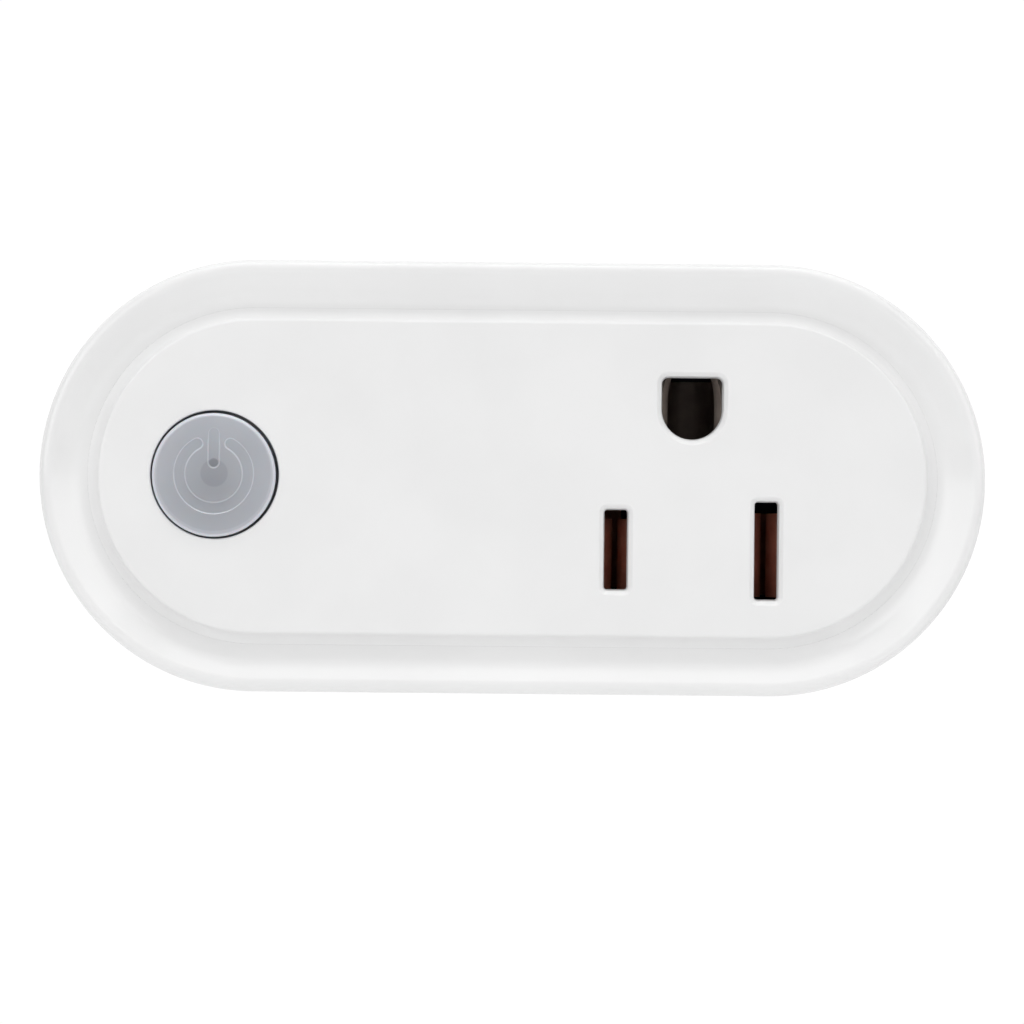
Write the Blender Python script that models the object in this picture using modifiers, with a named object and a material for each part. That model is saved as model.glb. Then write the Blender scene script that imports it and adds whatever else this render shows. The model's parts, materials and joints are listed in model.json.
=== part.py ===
"""A smart plug with one grounded outlet, a round power button and the plug's own blades on its back.

The frame: X runs along the long side, Z is up, the outlet faces -Y, and the origin is on the wall face,
at the middle of the body's outline. A depth is the distance behind the outlet face.
"""

import math

import bmesh
import bpy
from mathutils import Matrix

mm = 0.001

# The body's outline is a long oval: two half circles joined by straight runs.
BODY_LENGTH = 79.8 * mm
BODY_HEIGHT = 36.4 * mm
BODY_DEPTH = 30.0 * mm
END_STEPS = 18  # facets in each half circle

# Clearances
SEAT_GAP = 0.3 * mm  # between pieces that rest on each other
RUN_GAP = 0.2 * mm  # round pieces that pass through a hole or slide

# Casing walls
WALL = 2.0 * mm
REAR_WALL = 2.2 * mm
REAR_EDGE_R = 2.5 * mm
FLOOR_THICKNESS = 1.7 * mm  # the front housing's floor under the face plate
SIDE_DRAFT = math.radians(0.8)
PARTING_DEPTH = 13.0 * mm
TONGUE_DEPTH = 1.0 * mm
TONGUE_THICKNESS = 1.0 * mm

# The dished rim round the face plate
LIP_OUTER_R = 0.7 * mm
LIP_INNER_R = 1.0 * mm
DISH_SLOPE = math.radians(28)
DISH_R = 3.0 * mm

# Face plate
FACE_MARGIN = 5.3 * mm  # outline to the end of the flat face
BASE_MARGIN = 4.25 * mm  # outline to the foot of the plate's sloping edge
PLATE_EDGE_R = 0.42 * mm
PLATE_EDGE_TURN = math.radians(80)
PLATE_STEP = 1.4 * mm  # how far the plate stands above the dish
PLATE_THICKNESS = 2.0 * mm
PEG_R = 1.0 * mm

# Outlet: the standard 15 A grounded pattern, ground hole uppermost
OUTLET_INSET = 6.57 * mm  # from the right half circle's centre to the outlet's middle
BLADE_PITCH = 12.7 * mm
GROUND_RISE = 11.9 * mm
SLOT_WIDTH = 1.95 * mm
LINE_SLOT_HEIGHT = 6.7 * mm
NEUTRAL_SLOT_HEIGHT = 8.25 * mm
GROUND_HOLE_R = 2.58 * mm
GROUND_HOLE_TOP = 2.75 * mm

# Contacts behind the slots
CONTACT_SHEET = 0.4 * mm
CONTACT_LIP_DEPTH = 1.4 * mm  # behind the plate's back
CONTACT_THROAT_DEPTH = 5.5 * mm
CONTACT_SHOULDER_DEPTH = 9.5 * mm
LINE_CONTACT_HEIGHT = 6.3 * mm
NEUTRAL_CONTACT_HEIGHT = 7.6 * mm
GROUND_CONTACT_HEIGHT = 5.6 * mm
GROUND_THROAT = 2.12 * mm  # half the gap between the ground leaves
TAB_THICKNESS = 0.5 * mm
TAB_WIDTH = 2.4 * mm

# Contact block
BLOCK_WIDTH = 21.4 * mm
BLOCK_HEIGHT = 23.6 * mm
BLOCK_SHOULDER = 1.0 * mm
BLOCK_FLOOR = 1.8 * mm
POCKET_WIDTH = 5.4 * mm
POCKET_MARGIN = 0.6 * mm
GROUND_POCKET_WIDTH = 8.0 * mm

# The plug's own blades
BLADE_THICKNESS = 1.52 * mm
BLADE_WIDTH = 6.35 * mm
BLADE_LENGTH = 16.8 * mm
BLADE_TIP_BEVEL = 0.5 * mm
BLADE_HOLE_R = 1.5 * mm
BLADE_HOLE_FROM_TIP = 4.9 * mm
GROUND_PIN_R = 2.38 * mm
GROUND_PIN_LENGTH = 20.0 * mm
FLANGE_THICKNESS = 1.2 * mm
FLANGE_EXTRA = 1.6 * mm  # how far a flange stands out round its blade
NECK_SHRINK = 0.5 * mm
TAIL_WIDTH = 2.4 * mm
TAIL_THICKNESS = 1.0 * mm
PIN_TAIL_R = 1.1 * mm
RETAINER_THICKNESS = 1.5 * mm
SOLDER_ROOM = 1.5 * mm  # between the main board and the retainer
SOLDER_STAND = 0.6 * mm  # how far a soldered end stands out of its board

# Power button
BUTTON_OUTSET = 3.4 * mm  # beyond the left half circle's centre
BUTTON_R = 5.25 * mm
BUTTON_EDGE_R = 0.4 * mm
BUTTON_PROUD = 0.6 * mm
BUTTON_CAP_THICKNESS = 1.4 * mm
BUTTON_FLANGE = 0.7 * mm
BUTTON_FLANGE_THICKNESS = 0.8 * mm
BUTTON_SKIRT = 0.9 * mm
BUTTON_STEM_R = 1.15 * mm
BUTTON_TRAVEL = 0.5 * mm
SYMBOL_R = 2.98 * mm  # middle of the power symbol's ring
SYMBOL_STROKE = 0.95 * mm
SYMBOL_GAP = math.radians(32)
SYMBOL_DEPTH = 0.2 * mm
SYMBOL_BAR = (-0.1 * mm, 3.95 * mm)  # the bar's ends above the button's centre
COLLAR_THICKNESS = 1.0 * mm
COLLAR_HEIGHT = 1.2 * mm

# Boards
BOARD_THICKNESS = 1.6 * mm
CONTROL_BOARD_THICKNESS = 1.0 * mm
CONTROL_BOARD_REACH = 6.1 * mm  # past the left half circle's centre, towards the middle
BOARD_EDGE_GAP = 0.4 * mm
SMALL_BEVEL = 0.2 * mm

# Tactile switch under the button
SWITCH_SIDE = 6.0 * mm
SWITCH_HEIGHT = 3.1 * mm
SWITCH_COVER = 0.3 * mm
PLUNGER_R = 1.7 * mm
PLUNGER_FLANGE = 0.5 * mm
PLUNGER_FLANGE_THICKNESS = 0.4 * mm
DOME_R = 2.2 * mm
DOME_RISE = 0.35 * mm
DOME_SHEET = 0.15 * mm
SWITCH_WELL_FLOOR = 0.5 * mm

# Screws and the bosses that take them
BOSS_R = 3.2 * mm
TUBE_R = 3.5 * mm
BOSS_ANGLE = math.radians(47)
BOSS_BITE = 0.4 * mm  # how far a boss runs into the side wall
SCREW_R = 1.3 * mm
SCREW_HEAD_R = 2.2 * mm
SCREW_HEAD_HEIGHT = 1.6 * mm
SCREW_LENGTH = 13.0 * mm
SCREW_SEAT = 9.0 * mm  # from the wall face down to the head's seat
SMALL_SCREW_R = 0.9 * mm
SMALL_SCREW_HEAD_R = 1.8 * mm
SMALL_SCREW_HEAD_HEIGHT = 1.2 * mm
SMALL_SCREW_LENGTH = 3.6 * mm
POST_R = 1.9 * mm
REST_R = 1.6 * mm

# Relay
RELAY_WIDTH = 15.5 * mm
RELAY_LENGTH = 19.0 * mm
RELAY_HEADROOM = 1.5 * mm
RELAY_TO_BLOCK = 2.8 * mm
RELAY_COVER_WALL = 0.8 * mm
RELAY_BASE_THICKNESS = 2.0 * mm
RELAY_LEAF_SHEET = 0.25 * mm
ARMATURE_THICKNESS = 1.0 * mm
ARMATURE_WIDTH = 8.0 * mm
YOKE_THICKNESS = 1.2 * mm
YOKE_BACKSET = 7.9 * mm  # from the relay's middle to the yoke's outer face
COIL_BACKSET = 1.5 * mm
COIL_FLANGE = 9.4 * mm
COIL_FLANGE_THICKNESS = 0.8 * mm
COIL_R = 4.2 * mm
BARREL_R = 2.3 * mm
POLE_R = 1.4 * mm
POLE_HEAD_R = 2.6 * mm
POLE_GAP = 0.6 * mm
CONTACT_REACH = 7.0 * mm  # from the relay's middle to its contacts
CONTACT_RIVET_R = 1.2 * mm
CONTACT_RIVET_HEIGHT = 0.6 * mm
CONTACT_OPENING = 0.85 * mm

# Parts on the main board
PIN_R = 0.35 * mm
LEAD_SIDE = 0.6 * mm
LEAD_ROOT = 1.0 * mm  # how far a lead starts inside its part
CAPACITOR_R = 4.0 * mm
SMALL_CAPACITOR_R = 3.1 * mm
X_CAPACITOR = (13.0 * mm, 10.5 * mm, 4.6 * mm)
VARISTOR_R = 4.5 * mm
VARISTOR_THICKNESS = 3.4 * mm
FUSE_R = 1.6 * mm
FUSE_LENGTH = 5.6 * mm
CHOKE_R = 3.5 * mm
CHOKE_HEIGHT = 8.0 * mm
CHOKE_WAIST_R = 1.8 * mm
CHOKE_FLANGE = 1.0 * mm
TRANSFORMER_CORE = (11.0 * mm, 5.0 * mm)  # across X and across Z
PART_SPACING = 1.2 * mm  # between the large parts on the main board
CORE_LEG = 1.4 * mm
CORE_YOKE = 1.4 * mm
CORE_CENTRE_LEG = 2.4 * mm
BOBBIN_WALL = 0.5 * mm
BOBBIN_FLANGE = 0.7 * mm
BRIDGE = (4.8 * mm, 1.6 * mm, 4.0 * mm)
CONTROLLER = (4.9 * mm, 1.5 * mm, 3.9 * mm)
CHIP_LEAD = 0.4 * mm
STATUS_LED = (2.8 * mm, 1.4 * mm, 1.4 * mm)

# Radio module and the header that ties the two boards together
WIFI_BOARD = (15.0 * mm, 0.8 * mm, 11.0 * mm)
WIFI_SHIELD = (10.5 * mm, 1.8 * mm, 9.0 * mm)
HEADER_PITCH = 2.0 * mm
HEADER_PINS = 4
HEADER_STRIP = 2.2 * mm

# Rating label in its recess on the wall face
LABEL = (18.0 * mm, 0.2 * mm, 19.0 * mm)
LABEL_RECESS = 0.5 * mm
LABEL_INSET = 5.6 * mm  # from the left half circle's centre to the label's middle

# Places that follow from the sizes above
RIM_R = BODY_HEIGHT / 2
HALF_SPAN = (BODY_LENGTH - BODY_HEIGHT) / 2
OUTLET_X = HALF_SPAN - OUTLET_INSET
SLOT_Z = -GROUND_RISE / 2
GROUND_Z = GROUND_RISE / 2
LINE_X = OUTLET_X - BLADE_PITCH / 2
NEUTRAL_X = OUTLET_X + BLADE_PITCH / 2
BUTTON_X = -(HALF_SPAN + BUTTON_OUTSET)
PLATE_BASE_R = RIM_R - BASE_MARGIN
PLATE_FACE_R = RIM_R - FACE_MARGIN

POCKET_FLOOR = PLATE_THICKNESS + SEAT_GAP
FLOOR_BACK = POCKET_FLOOR + FLOOR_THICKNESS
BOSS_END = PARTING_DEPTH + TONGUE_DEPTH
REAR_INSIDE = BODY_DEPTH - REAR_WALL
FLANGE_BACK = REAR_INSIDE - SEAT_GAP
FLANGE_FRONT = FLANGE_BACK - FLANGE_THICKNESS
RETAINER_BACK = FLANGE_FRONT - SEAT_GAP
RETAINER_FRONT = RETAINER_BACK - RETAINER_THICKNESS
BOARD_BACK = RETAINER_FRONT - SOLDER_ROOM
BOARD_FRONT = BOARD_BACK - BOARD_THICKNESS
ON_BOARD = BOARD_FRONT - SEAT_GAP  # where parts stand on the main board
BLOCK_BACK = ON_BOARD
BLOCK_POCKET_FLOOR = BLOCK_BACK - BLOCK_FLOOR
SOLDER_END = BOARD_BACK + SOLDER_STAND
TAIL_END = BOARD_FRONT - SOLDER_STAND
CONTACT_BASE = BLOCK_POCKET_FLOOR - SEAT_GAP - CONTACT_SHEET / 2

BUTTON_FLANGE_FRONT = PLATE_THICKNESS + SEAT_GAP
BUTTON_FLANGE_BACK = BUTTON_FLANGE_FRONT + BUTTON_FLANGE_THICKNESS
STEM_END = BUTTON_FLANGE_BACK + BUTTON_TRAVEL
PLUNGER_FRONT = STEM_END + SEAT_GAP
SWITCH_FRONT = PLUNGER_FRONT + BUTTON_TRAVEL + SEAT_GAP
SWITCH_BACK = SWITCH_FRONT + SWITCH_HEIGHT
CONTROL_FRONT = SWITCH_BACK + SEAT_GAP
CONTROL_BACK = CONTROL_FRONT + CONTROL_BOARD_THICKNESS
BEHIND_CONTROL = CONTROL_BACK + SEAT_GAP
WIFI_BACK = BEHIND_CONTROL + WIFI_BOARD[1]
SHIELD_BACK = WIFI_BACK + SEAT_GAP + WIFI_SHIELD[1]
UNDER_CONTROL = SHIELD_BACK + 2 * SEAT_GAP  # the tallest part on the main board ends here

RELAY_FRONT = FLOOR_BACK + RELAY_HEADROOM
RELAY_X = OUTLET_X - BLOCK_WIDTH / 2 - RELAY_TO_BLOCK - RELAY_WIDTH / 2
LEAF_FRONT = RELAY_FRONT + RELAY_COVER_WALL + 2 * RUN_GAP
ARMATURE_FRONT = LEAF_FRONT + RELAY_LEAF_SHEET + SEAT_GAP
ARMATURE_BACK = ARMATURE_FRONT + ARMATURE_THICKNESS
YOKE_FRONT = ARMATURE_BACK + SEAT_GAP
POLE_FRONT = ARMATURE_BACK + POLE_GAP
RELAY_BASE_FRONT = ON_BOARD - RELAY_BASE_THICKNESS
YOKE_BACK = RELAY_BASE_FRONT - SEAT_GAP
POLE_BACK = YOKE_BACK - YOKE_THICKNESS - SEAT_GAP
HINGE_Z = -(YOKE_BACKSET - YOKE_THICKNESS / 2)
HINGE_DEPTH = ARMATURE_BACK + SEAT_GAP / 2

parts = bpy.data.collections.new("smart_plug")
cutters = bpy.data.collections.new("cutters")


def y_at(depth):
    return depth - BODY_DEPTH


def side_radius(depth):
    """The drafted outer wall's radius at a depth."""
    return RIM_R - max(depth, 0) * math.tan(SIDE_DRAFT)


INNER_R = side_radius(BOARD_BACK) - WALL
BOSS_PLACES = [
    (sx * (HALF_SPAN + (INNER_R - TUBE_R + BOSS_BITE) * math.cos(BOSS_ANGLE)),
     sz * (INNER_R - TUBE_R + BOSS_BITE) * math.sin(BOSS_ANGLE))
    for sx in (-1, 1)
    for sz in (-1, 1)
]
POST_PLACES = [
    (-HALF_SPAN + CONTROL_BOARD_REACH - POST_R, sz * (INNER_R - 2 * POST_R))
    for sz in (-1, 1)
]
PEG_PLACES = [
    (x, sz * (PLATE_BASE_R - 3 * PEG_R))
    for x in (RELAY_X - RELAY_WIDTH / 2, RELAY_X + RELAY_WIDTH / 2)
    for sz in (-1, 1)
]


# Materials

def finish(name, colour, roughness, metallic=0.0):
    made = bpy.data.materials.new(name)
    made.use_nodes = True
    shader = made.node_tree.nodes["Principled BSDF"]
    shader.inputs["Base Color"].default_value = (*colour, 1)
    shader.inputs["Roughness"].default_value = roughness
    shader.inputs["Metallic"].default_value = metallic
    return made


def make_finishes():
    return {
        "satin_white": finish("satin_white", (0.84, 0.84, 0.84), 0.45),
        "gloss_white": finish("gloss_white", (0.82, 0.82, 0.82), 0.18),
        "grey_silicone": finish("grey_silicone", (0.42, 0.43, 0.45), 0.4),
        "black_plastic": finish("black_plastic", (0.02, 0.02, 0.02), 0.4),
        "bronze": finish("bronze", (0.45, 0.24, 0.16), 0.3, 1.0),
        "nickel": finish("nickel", (0.72, 0.70, 0.66), 0.22, 1.0),
        "zinc_steel": finish("zinc_steel", (0.62, 0.63, 0.65), 0.35, 1.0),
        "tinned_steel": finish("tinned_steel", (0.70, 0.70, 0.70), 0.3, 1.0),
        "board_green": finish("board_green", (0.02, 0.16, 0.07), 0.4),
        "copper_wire": finish("copper_wire", (0.60, 0.26, 0.13), 0.35, 1.0),
        "yellow_tape": finish("yellow_tape", (0.80, 0.62, 0.08), 0.45),
        "ferrite": finish("ferrite", (0.06, 0.06, 0.065), 0.6),
        "blue_plastic": finish("blue_plastic", (0.03, 0.12, 0.42), 0.35),
        "cream_plastic": finish("cream_plastic", (0.70, 0.66, 0.55), 0.4),
        "label_film": finish("label_film", (0.60, 0.61, 0.62), 0.5),
        "led_lens": finish("led_lens", (0.85, 0.83, 0.60), 0.25),
    }


# Shapes

def keep(name, mesh, material):
    """Links a new object: a part if it has a material, and otherwise a helper for a Boolean."""
    obj = bpy.data.objects.new(name, mesh)
    if material:
        mesh.materials.append(material)
        parts.objects.link(obj)
    else:
        cutters.objects.link(obj)
        obj.hide_render = True
        obj.display_type = "WIRE"
    return obj


def mesh_from(bm, name):
    mesh = bpy.data.meshes.new(name)
    bm.to_mesh(mesh)
    bm.free()
    return mesh


def smooth(obj, angle=math.radians(35)):
    obj.data.shade_smooth()
    obj.data.set_sharp_from_angle(angle=angle)
    return obj


def box(name, width, depths, height, place=(0, 0), material=None, bevel=0.0):
    """A box: its width along X, from one depth to another, its height along Z."""
    front, back = depths
    bm = bmesh.new()
    bmesh.ops.create_cube(bm, size=1)
    bmesh.ops.scale(bm, vec=(width, back - front, height), verts=bm.verts)
    obj = keep(name, mesh_from(bm, name), material)
    obj.location = (place[0], y_at((front + back) / 2), place[1])
    if bevel:
        edge = obj.modifiers.new("edges", "BEVEL")
        edge.width = bevel
        edge.segments = 1
    return obj


def rod(name, radius, depths, place=(0, 0), material=None, sides=20, tip_radius=None):
    """A cylinder or, with a tip radius at its front, a cone along Y."""
    front, back = depths
    bm = bmesh.new()
    bmesh.ops.create_cone(
        bm,
        cap_ends=True,
        segments=sides,
        radius1=radius,
        radius2=radius if tip_radius is None else tip_radius,
        depth=back - front,
    )
    obj = keep(name, mesh_from(bm, name), material)
    obj.location = (place[0], y_at((front + back) / 2), place[1])
    obj.rotation_euler.x = math.radians(90)
    return smooth(obj)


def turned(name, profile, place=(0, 0), material=None, closed=False, sides=32):
    """A shape turned about a line along Y, from (radius, depth) points that run down its outer side."""
    bm = bmesh.new()
    line = [bm.verts.new((radius, 0, -depth)) for radius, depth in profile]
    for pair in zip(line, line[1:] + line[:1] if closed else line[1:]):
        bm.edges.new(pair)
    obj = keep(name, mesh_from(bm, name), material)
    obj.location = (place[0], y_at(0), place[1])
    obj.rotation_euler.x = math.radians(90)
    turn = obj.modifiers.new("turn", "SCREW")
    turn.steps = sides
    turn.render_steps = sides
    turn.use_merge_vertices = True
    turn.merge_threshold = 0.00001
    turn.use_smooth_shade = False
    return obj


def oval_solid(name, profile, material=None):
    """A closed solid: (radius, depth) points from the middle line out and back, carried round the long oval."""
    bm = bmesh.new()
    line = [bm.verts.new((HALF_SPAN, y_at(depth), -radius)) for radius, depth in profile]
    edges = [bm.edges.new(pair) for pair in zip(line, line[1:])]
    for side in (1, -1):
        turned_end = bmesh.ops.spin(
            bm,
            geom=edges,
            cent=(side * HALF_SPAN, 0, 0),
            axis=(0, 1, 0),
            angle=-math.pi,
            steps=END_STEPS,
        )
        edges = [e for e in turned_end["geom_last"] if isinstance(e, bmesh.types.BMEdge)]
        run = bmesh.ops.extrude_edge_only(bm, edges=edges)["geom"]
        moved = [v for v in run if isinstance(v, bmesh.types.BMVert)]
        bmesh.ops.translate(bm, vec=(-side * 2 * HALF_SPAN, 0, 0), verts=moved)
        edges = [e for e in run if isinstance(e, bmesh.types.BMEdge)]
    bmesh.ops.remove_doubles(bm, verts=bm.verts, dist=0.000001)
    bmesh.ops.recalc_face_normals(bm, faces=bm.faces)
    return smooth(keep(name, mesh_from(bm, name), material))


def oval_plate(name, radius, depths, material=None):
    front, back = depths
    return oval_solid(name, [(0, front), (radius, front), (radius, back), (0, back)], material)


def outline_plate(name, points, depths, material=None):
    """A flat outline of (x, z) points, as thick as the depths say, made a mesh so that it can cut."""
    front, back = depths
    curve = bpy.data.curves.new(name + "_outline", "CURVE")
    curve.dimensions = "2D"
    curve.fill_mode = "BOTH"
    curve.extrude = (back - front) / 2
    spline = curve.splines.new("POLY")
    spline.points.add(len(points) - 1)
    for point, (x, z) in zip(spline.points, points):
        point.co = (x, z, 0, 1)
    spline.use_cyclic_u = True
    guide = bpy.data.objects.new(name + "_outline", curve)
    cutters.objects.link(guide)
    guide.location.y = y_at((front + back) / 2)
    guide.rotation_euler.x = math.radians(90)
    bpy.context.view_layer.update()
    graph = bpy.context.evaluated_depsgraph_get()
    mesh = bpy.data.meshes.new_from_object(guide.evaluated_get(graph))
    bm = bmesh.new()
    bm.from_mesh(mesh)
    bmesh.ops.remove_doubles(bm, verts=bm.verts, dist=0.000001)
    bmesh.ops.recalc_face_normals(bm, faces=bm.faces)
    bm.to_mesh(mesh)
    bm.free()
    mesh.materials.clear()
    obj = keep(name, mesh, material)
    obj.matrix_world = guide.matrix_world.copy()
    bpy.data.objects.remove(guide)
    return obj


def ribbon(name, path, height, place, material):
    """Sheet metal on edge: (x, depth) points bent in plan, as tall as its height along Z."""
    bm = bmesh.new()
    line = [bm.verts.new((x, y_at(depth), -height / 2)) for x, depth in path]
    edges = [bm.edges.new(pair) for pair in zip(line, line[1:])]
    raised = bmesh.ops.extrude_edge_only(bm, edges=edges)["geom"]
    bmesh.ops.translate(
        bm, vec=(0, 0, height), verts=[v for v in raised if isinstance(v, bmesh.types.BMVert)]
    )
    obj = keep(name, mesh_from(bm, name), material)
    obj.location = (place[0], 0, place[1])
    sheet = obj.modifiers.new("sheet", "SOLIDIFY")
    sheet.thickness = CONTACT_SHEET
    sheet.offset = 0
    sheet.use_even_offset = True
    return obj


def combine(target, operation, others):
    for other in others:
        step = target.modifiers.new(other.name, "BOOLEAN")
        step.operation = operation
        step.object = other
        step.solver = "EXACT"


def join(target, *others):
    combine(target, "UNION", others)


def cut(target, *others):
    combine(target, "DIFFERENCE", others)


def arc(centre, radius, start, end, steps):
    """Points on an arc in a profile. An angle of zero points to the front, and it grows outwards."""
    across, depth = centre
    turns = [start + (end - start) * i / steps for i in range(steps + 1)]
    return [(across + radius * math.sin(a), depth - radius * math.cos(a)) for a in turns]


# The casing

def plate_profile():
    """The flat face, its rounded edge, and the hollow skirt that eases down to the plate's foot."""
    edge = arc((PLATE_FACE_R, PLATE_EDGE_R), PLATE_EDGE_R, 0, PLATE_EDGE_TURN, 4)
    run, drop = PLATE_BASE_R - edge[-1][0], PLATE_STEP - edge[-1][1]
    foot_turn = 2 * math.atan2(drop, run) - PLATE_EDGE_TURN
    skirt_r = math.hypot(run, drop) / 2 / math.sin((PLATE_EDGE_TURN - foot_turn) / 2)
    centre = (
        PLATE_BASE_R + skirt_r * math.sin(foot_turn),
        PLATE_STEP - skirt_r * math.cos(foot_turn),
    )
    skirt = arc(centre, skirt_r, math.pi + PLATE_EDGE_TURN, math.pi + foot_turn, 3)
    return [
        (0, 0),
        *edge,
        *skirt[1:],
        (PLATE_BASE_R, PLATE_THICKNESS),
        (0, PLATE_THICKNESS),
    ]


def ground_hole_outline():
    """A D: round below, with a flat top."""
    steps = 14
    turns = [math.pi + math.pi * i / steps for i in range(steps + 1)]
    round_side = [
        (OUTLET_X + GROUND_HOLE_R * math.cos(a), GROUND_Z + GROUND_HOLE_R * math.sin(a))
        for a in turns
    ]
    top = GROUND_Z + GROUND_HOLE_TOP
    return [*round_side, (OUTLET_X + GROUND_HOLE_R, top), (OUTLET_X - GROUND_HOLE_R, top)]


def make_front_plate(finishes):
    through = (-PLATE_THICKNESS, 2 * PLATE_THICKNESS)
    plate = oval_solid("front_plate", plate_profile(), finishes["satin_white"])
    for i, place in enumerate(PEG_PLACES):
        peg_depths = (PLATE_THICKNESS / 2, FLOOR_BACK + SEAT_GAP)
        join(plate, rod(f"plate_peg_{i}", PEG_R, peg_depths, place, sides=12))
    cut(
        plate,
        box("line_slot", SLOT_WIDTH, through, LINE_SLOT_HEIGHT, (LINE_X, SLOT_Z)),
        box("neutral_slot", SLOT_WIDTH, through, NEUTRAL_SLOT_HEIGHT, (NEUTRAL_X, SLOT_Z)),
        outline_plate("ground_hole", ground_hole_outline(), through),
        rod("button_hole", BUTTON_R + RUN_GAP, through, (BUTTON_X, 0), sides=48),
    )


def rim_profile():
    """The dish from the plate's foot up to the lip's crest, and over the lip to the side wall."""
    sine, sag = math.sin(DISH_SLOPE), 1 - math.cos(DISH_SLOPE)
    crest = RIM_R - LIP_OUTER_R
    incline = crest - PLATE_BASE_R - (DISH_R + LIP_INNER_R) * sine
    crest_depth = PLATE_STEP - (DISH_R + LIP_INNER_R) * sag - incline * math.tan(DISH_SLOPE)
    start = math.asin(SEAT_GAP / DISH_R)
    dish = arc((PLATE_BASE_R, PLATE_STEP - DISH_R), DISH_R, math.pi - start, math.pi - DISH_SLOPE, 4)
    inner = arc((crest, crest_depth + LIP_INNER_R), LIP_INNER_R, -DISH_SLOPE, 0, 2)
    outer = arc((crest, crest_depth + LIP_OUTER_R), LIP_OUTER_R, 0, math.pi / 2, 4)
    return dish + inner + outer[1:]


def make_front_housing(finishes):
    pocket_r = PLATE_BASE_R + SEAT_GAP
    parting_r = side_radius(PARTING_DEPTH)
    inner_r = parting_r - WALL
    tongue_r = inner_r + TONGUE_THICKNESS
    profile = [
        (0, POCKET_FLOOR),
        (pocket_r, POCKET_FLOOR),
        *rim_profile(),
        (parting_r, PARTING_DEPTH),
        (tongue_r, PARTING_DEPTH),
        (tongue_r, BOSS_END),
        (inner_r, BOSS_END),
        (inner_r, FLOOR_BACK + WALL),
        (inner_r - WALL, FLOOR_BACK),
        (0, FLOOR_BACK),
    ]
    shell = oval_solid("front_housing", profile, finishes["gloss_white"])
    boss_depths = (FLOOR_BACK - FLOOR_THICKNESS / 2, BOSS_END)
    for i, place in enumerate(BOSS_PLACES):
        join(shell, rod(f"front_boss_{i}", BOSS_R, boss_depths, place, sides=16))
    post_depths = (FLOOR_BACK - FLOOR_THICKNESS / 2, CONTROL_FRONT - SEAT_GAP)
    for i, place in enumerate(POST_PLACES):
        join(shell, rod(f"control_post_{i}", POST_R, post_depths, place, sides=14))
    guide_r = BUTTON_R + BUTTON_FLANGE + RUN_GAP
    collar_depths = (FLOOR_BACK - FLOOR_THICKNESS / 2, FLOOR_BACK + COLLAR_HEIGHT)
    join(
        shell,
        rod("button_collar", guide_r + COLLAR_THICKNESS, collar_depths, (BUTTON_X, 0), sides=32),
    )
    through = (PLATE_THICKNESS / 2, FLOOR_BACK + 2 * COLLAR_HEIGHT)
    window = (
        BLOCK_WIDTH - 2 * BLOCK_SHOULDER + 2 * SEAT_GAP,
        BLOCK_HEIGHT - 2 * BLOCK_SHOULDER + 2 * SEAT_GAP,
    )
    cut(
        shell,
        rod("button_window", guide_r, through, (BUTTON_X, 0), sides=32),
        box("block_window", window[0], through, window[1], (OUTLET_X, 0)),
    )
    screw_end = screw_tip_depth() - SEAT_GAP
    for i, place in enumerate(BOSS_PLACES):
        pilot = (screw_end, BOSS_END + TONGUE_DEPTH)
        cut(shell, rod(f"screw_pilot_{i}", SCREW_R + RUN_GAP, pilot, place, sides=12))
    for i, place in enumerate(POST_PLACES):
        pilot = (small_screw_tip_depth() - SEAT_GAP, CONTROL_FRONT)
        cut(shell, rod(f"post_pilot_{i}", SMALL_SCREW_R + RUN_GAP, pilot, place, sides=10))
    for i, place in enumerate(PEG_PLACES):
        cut(shell, rod(f"peg_hole_{i}", PEG_R + RUN_GAP, through, place, sides=12))


def screw_tip_depth():
    return BODY_DEPTH - SCREW_SEAT - SCREW_LENGTH


def small_screw_tip_depth():
    return BEHIND_CONTROL - SMALL_SCREW_LENGTH


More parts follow.
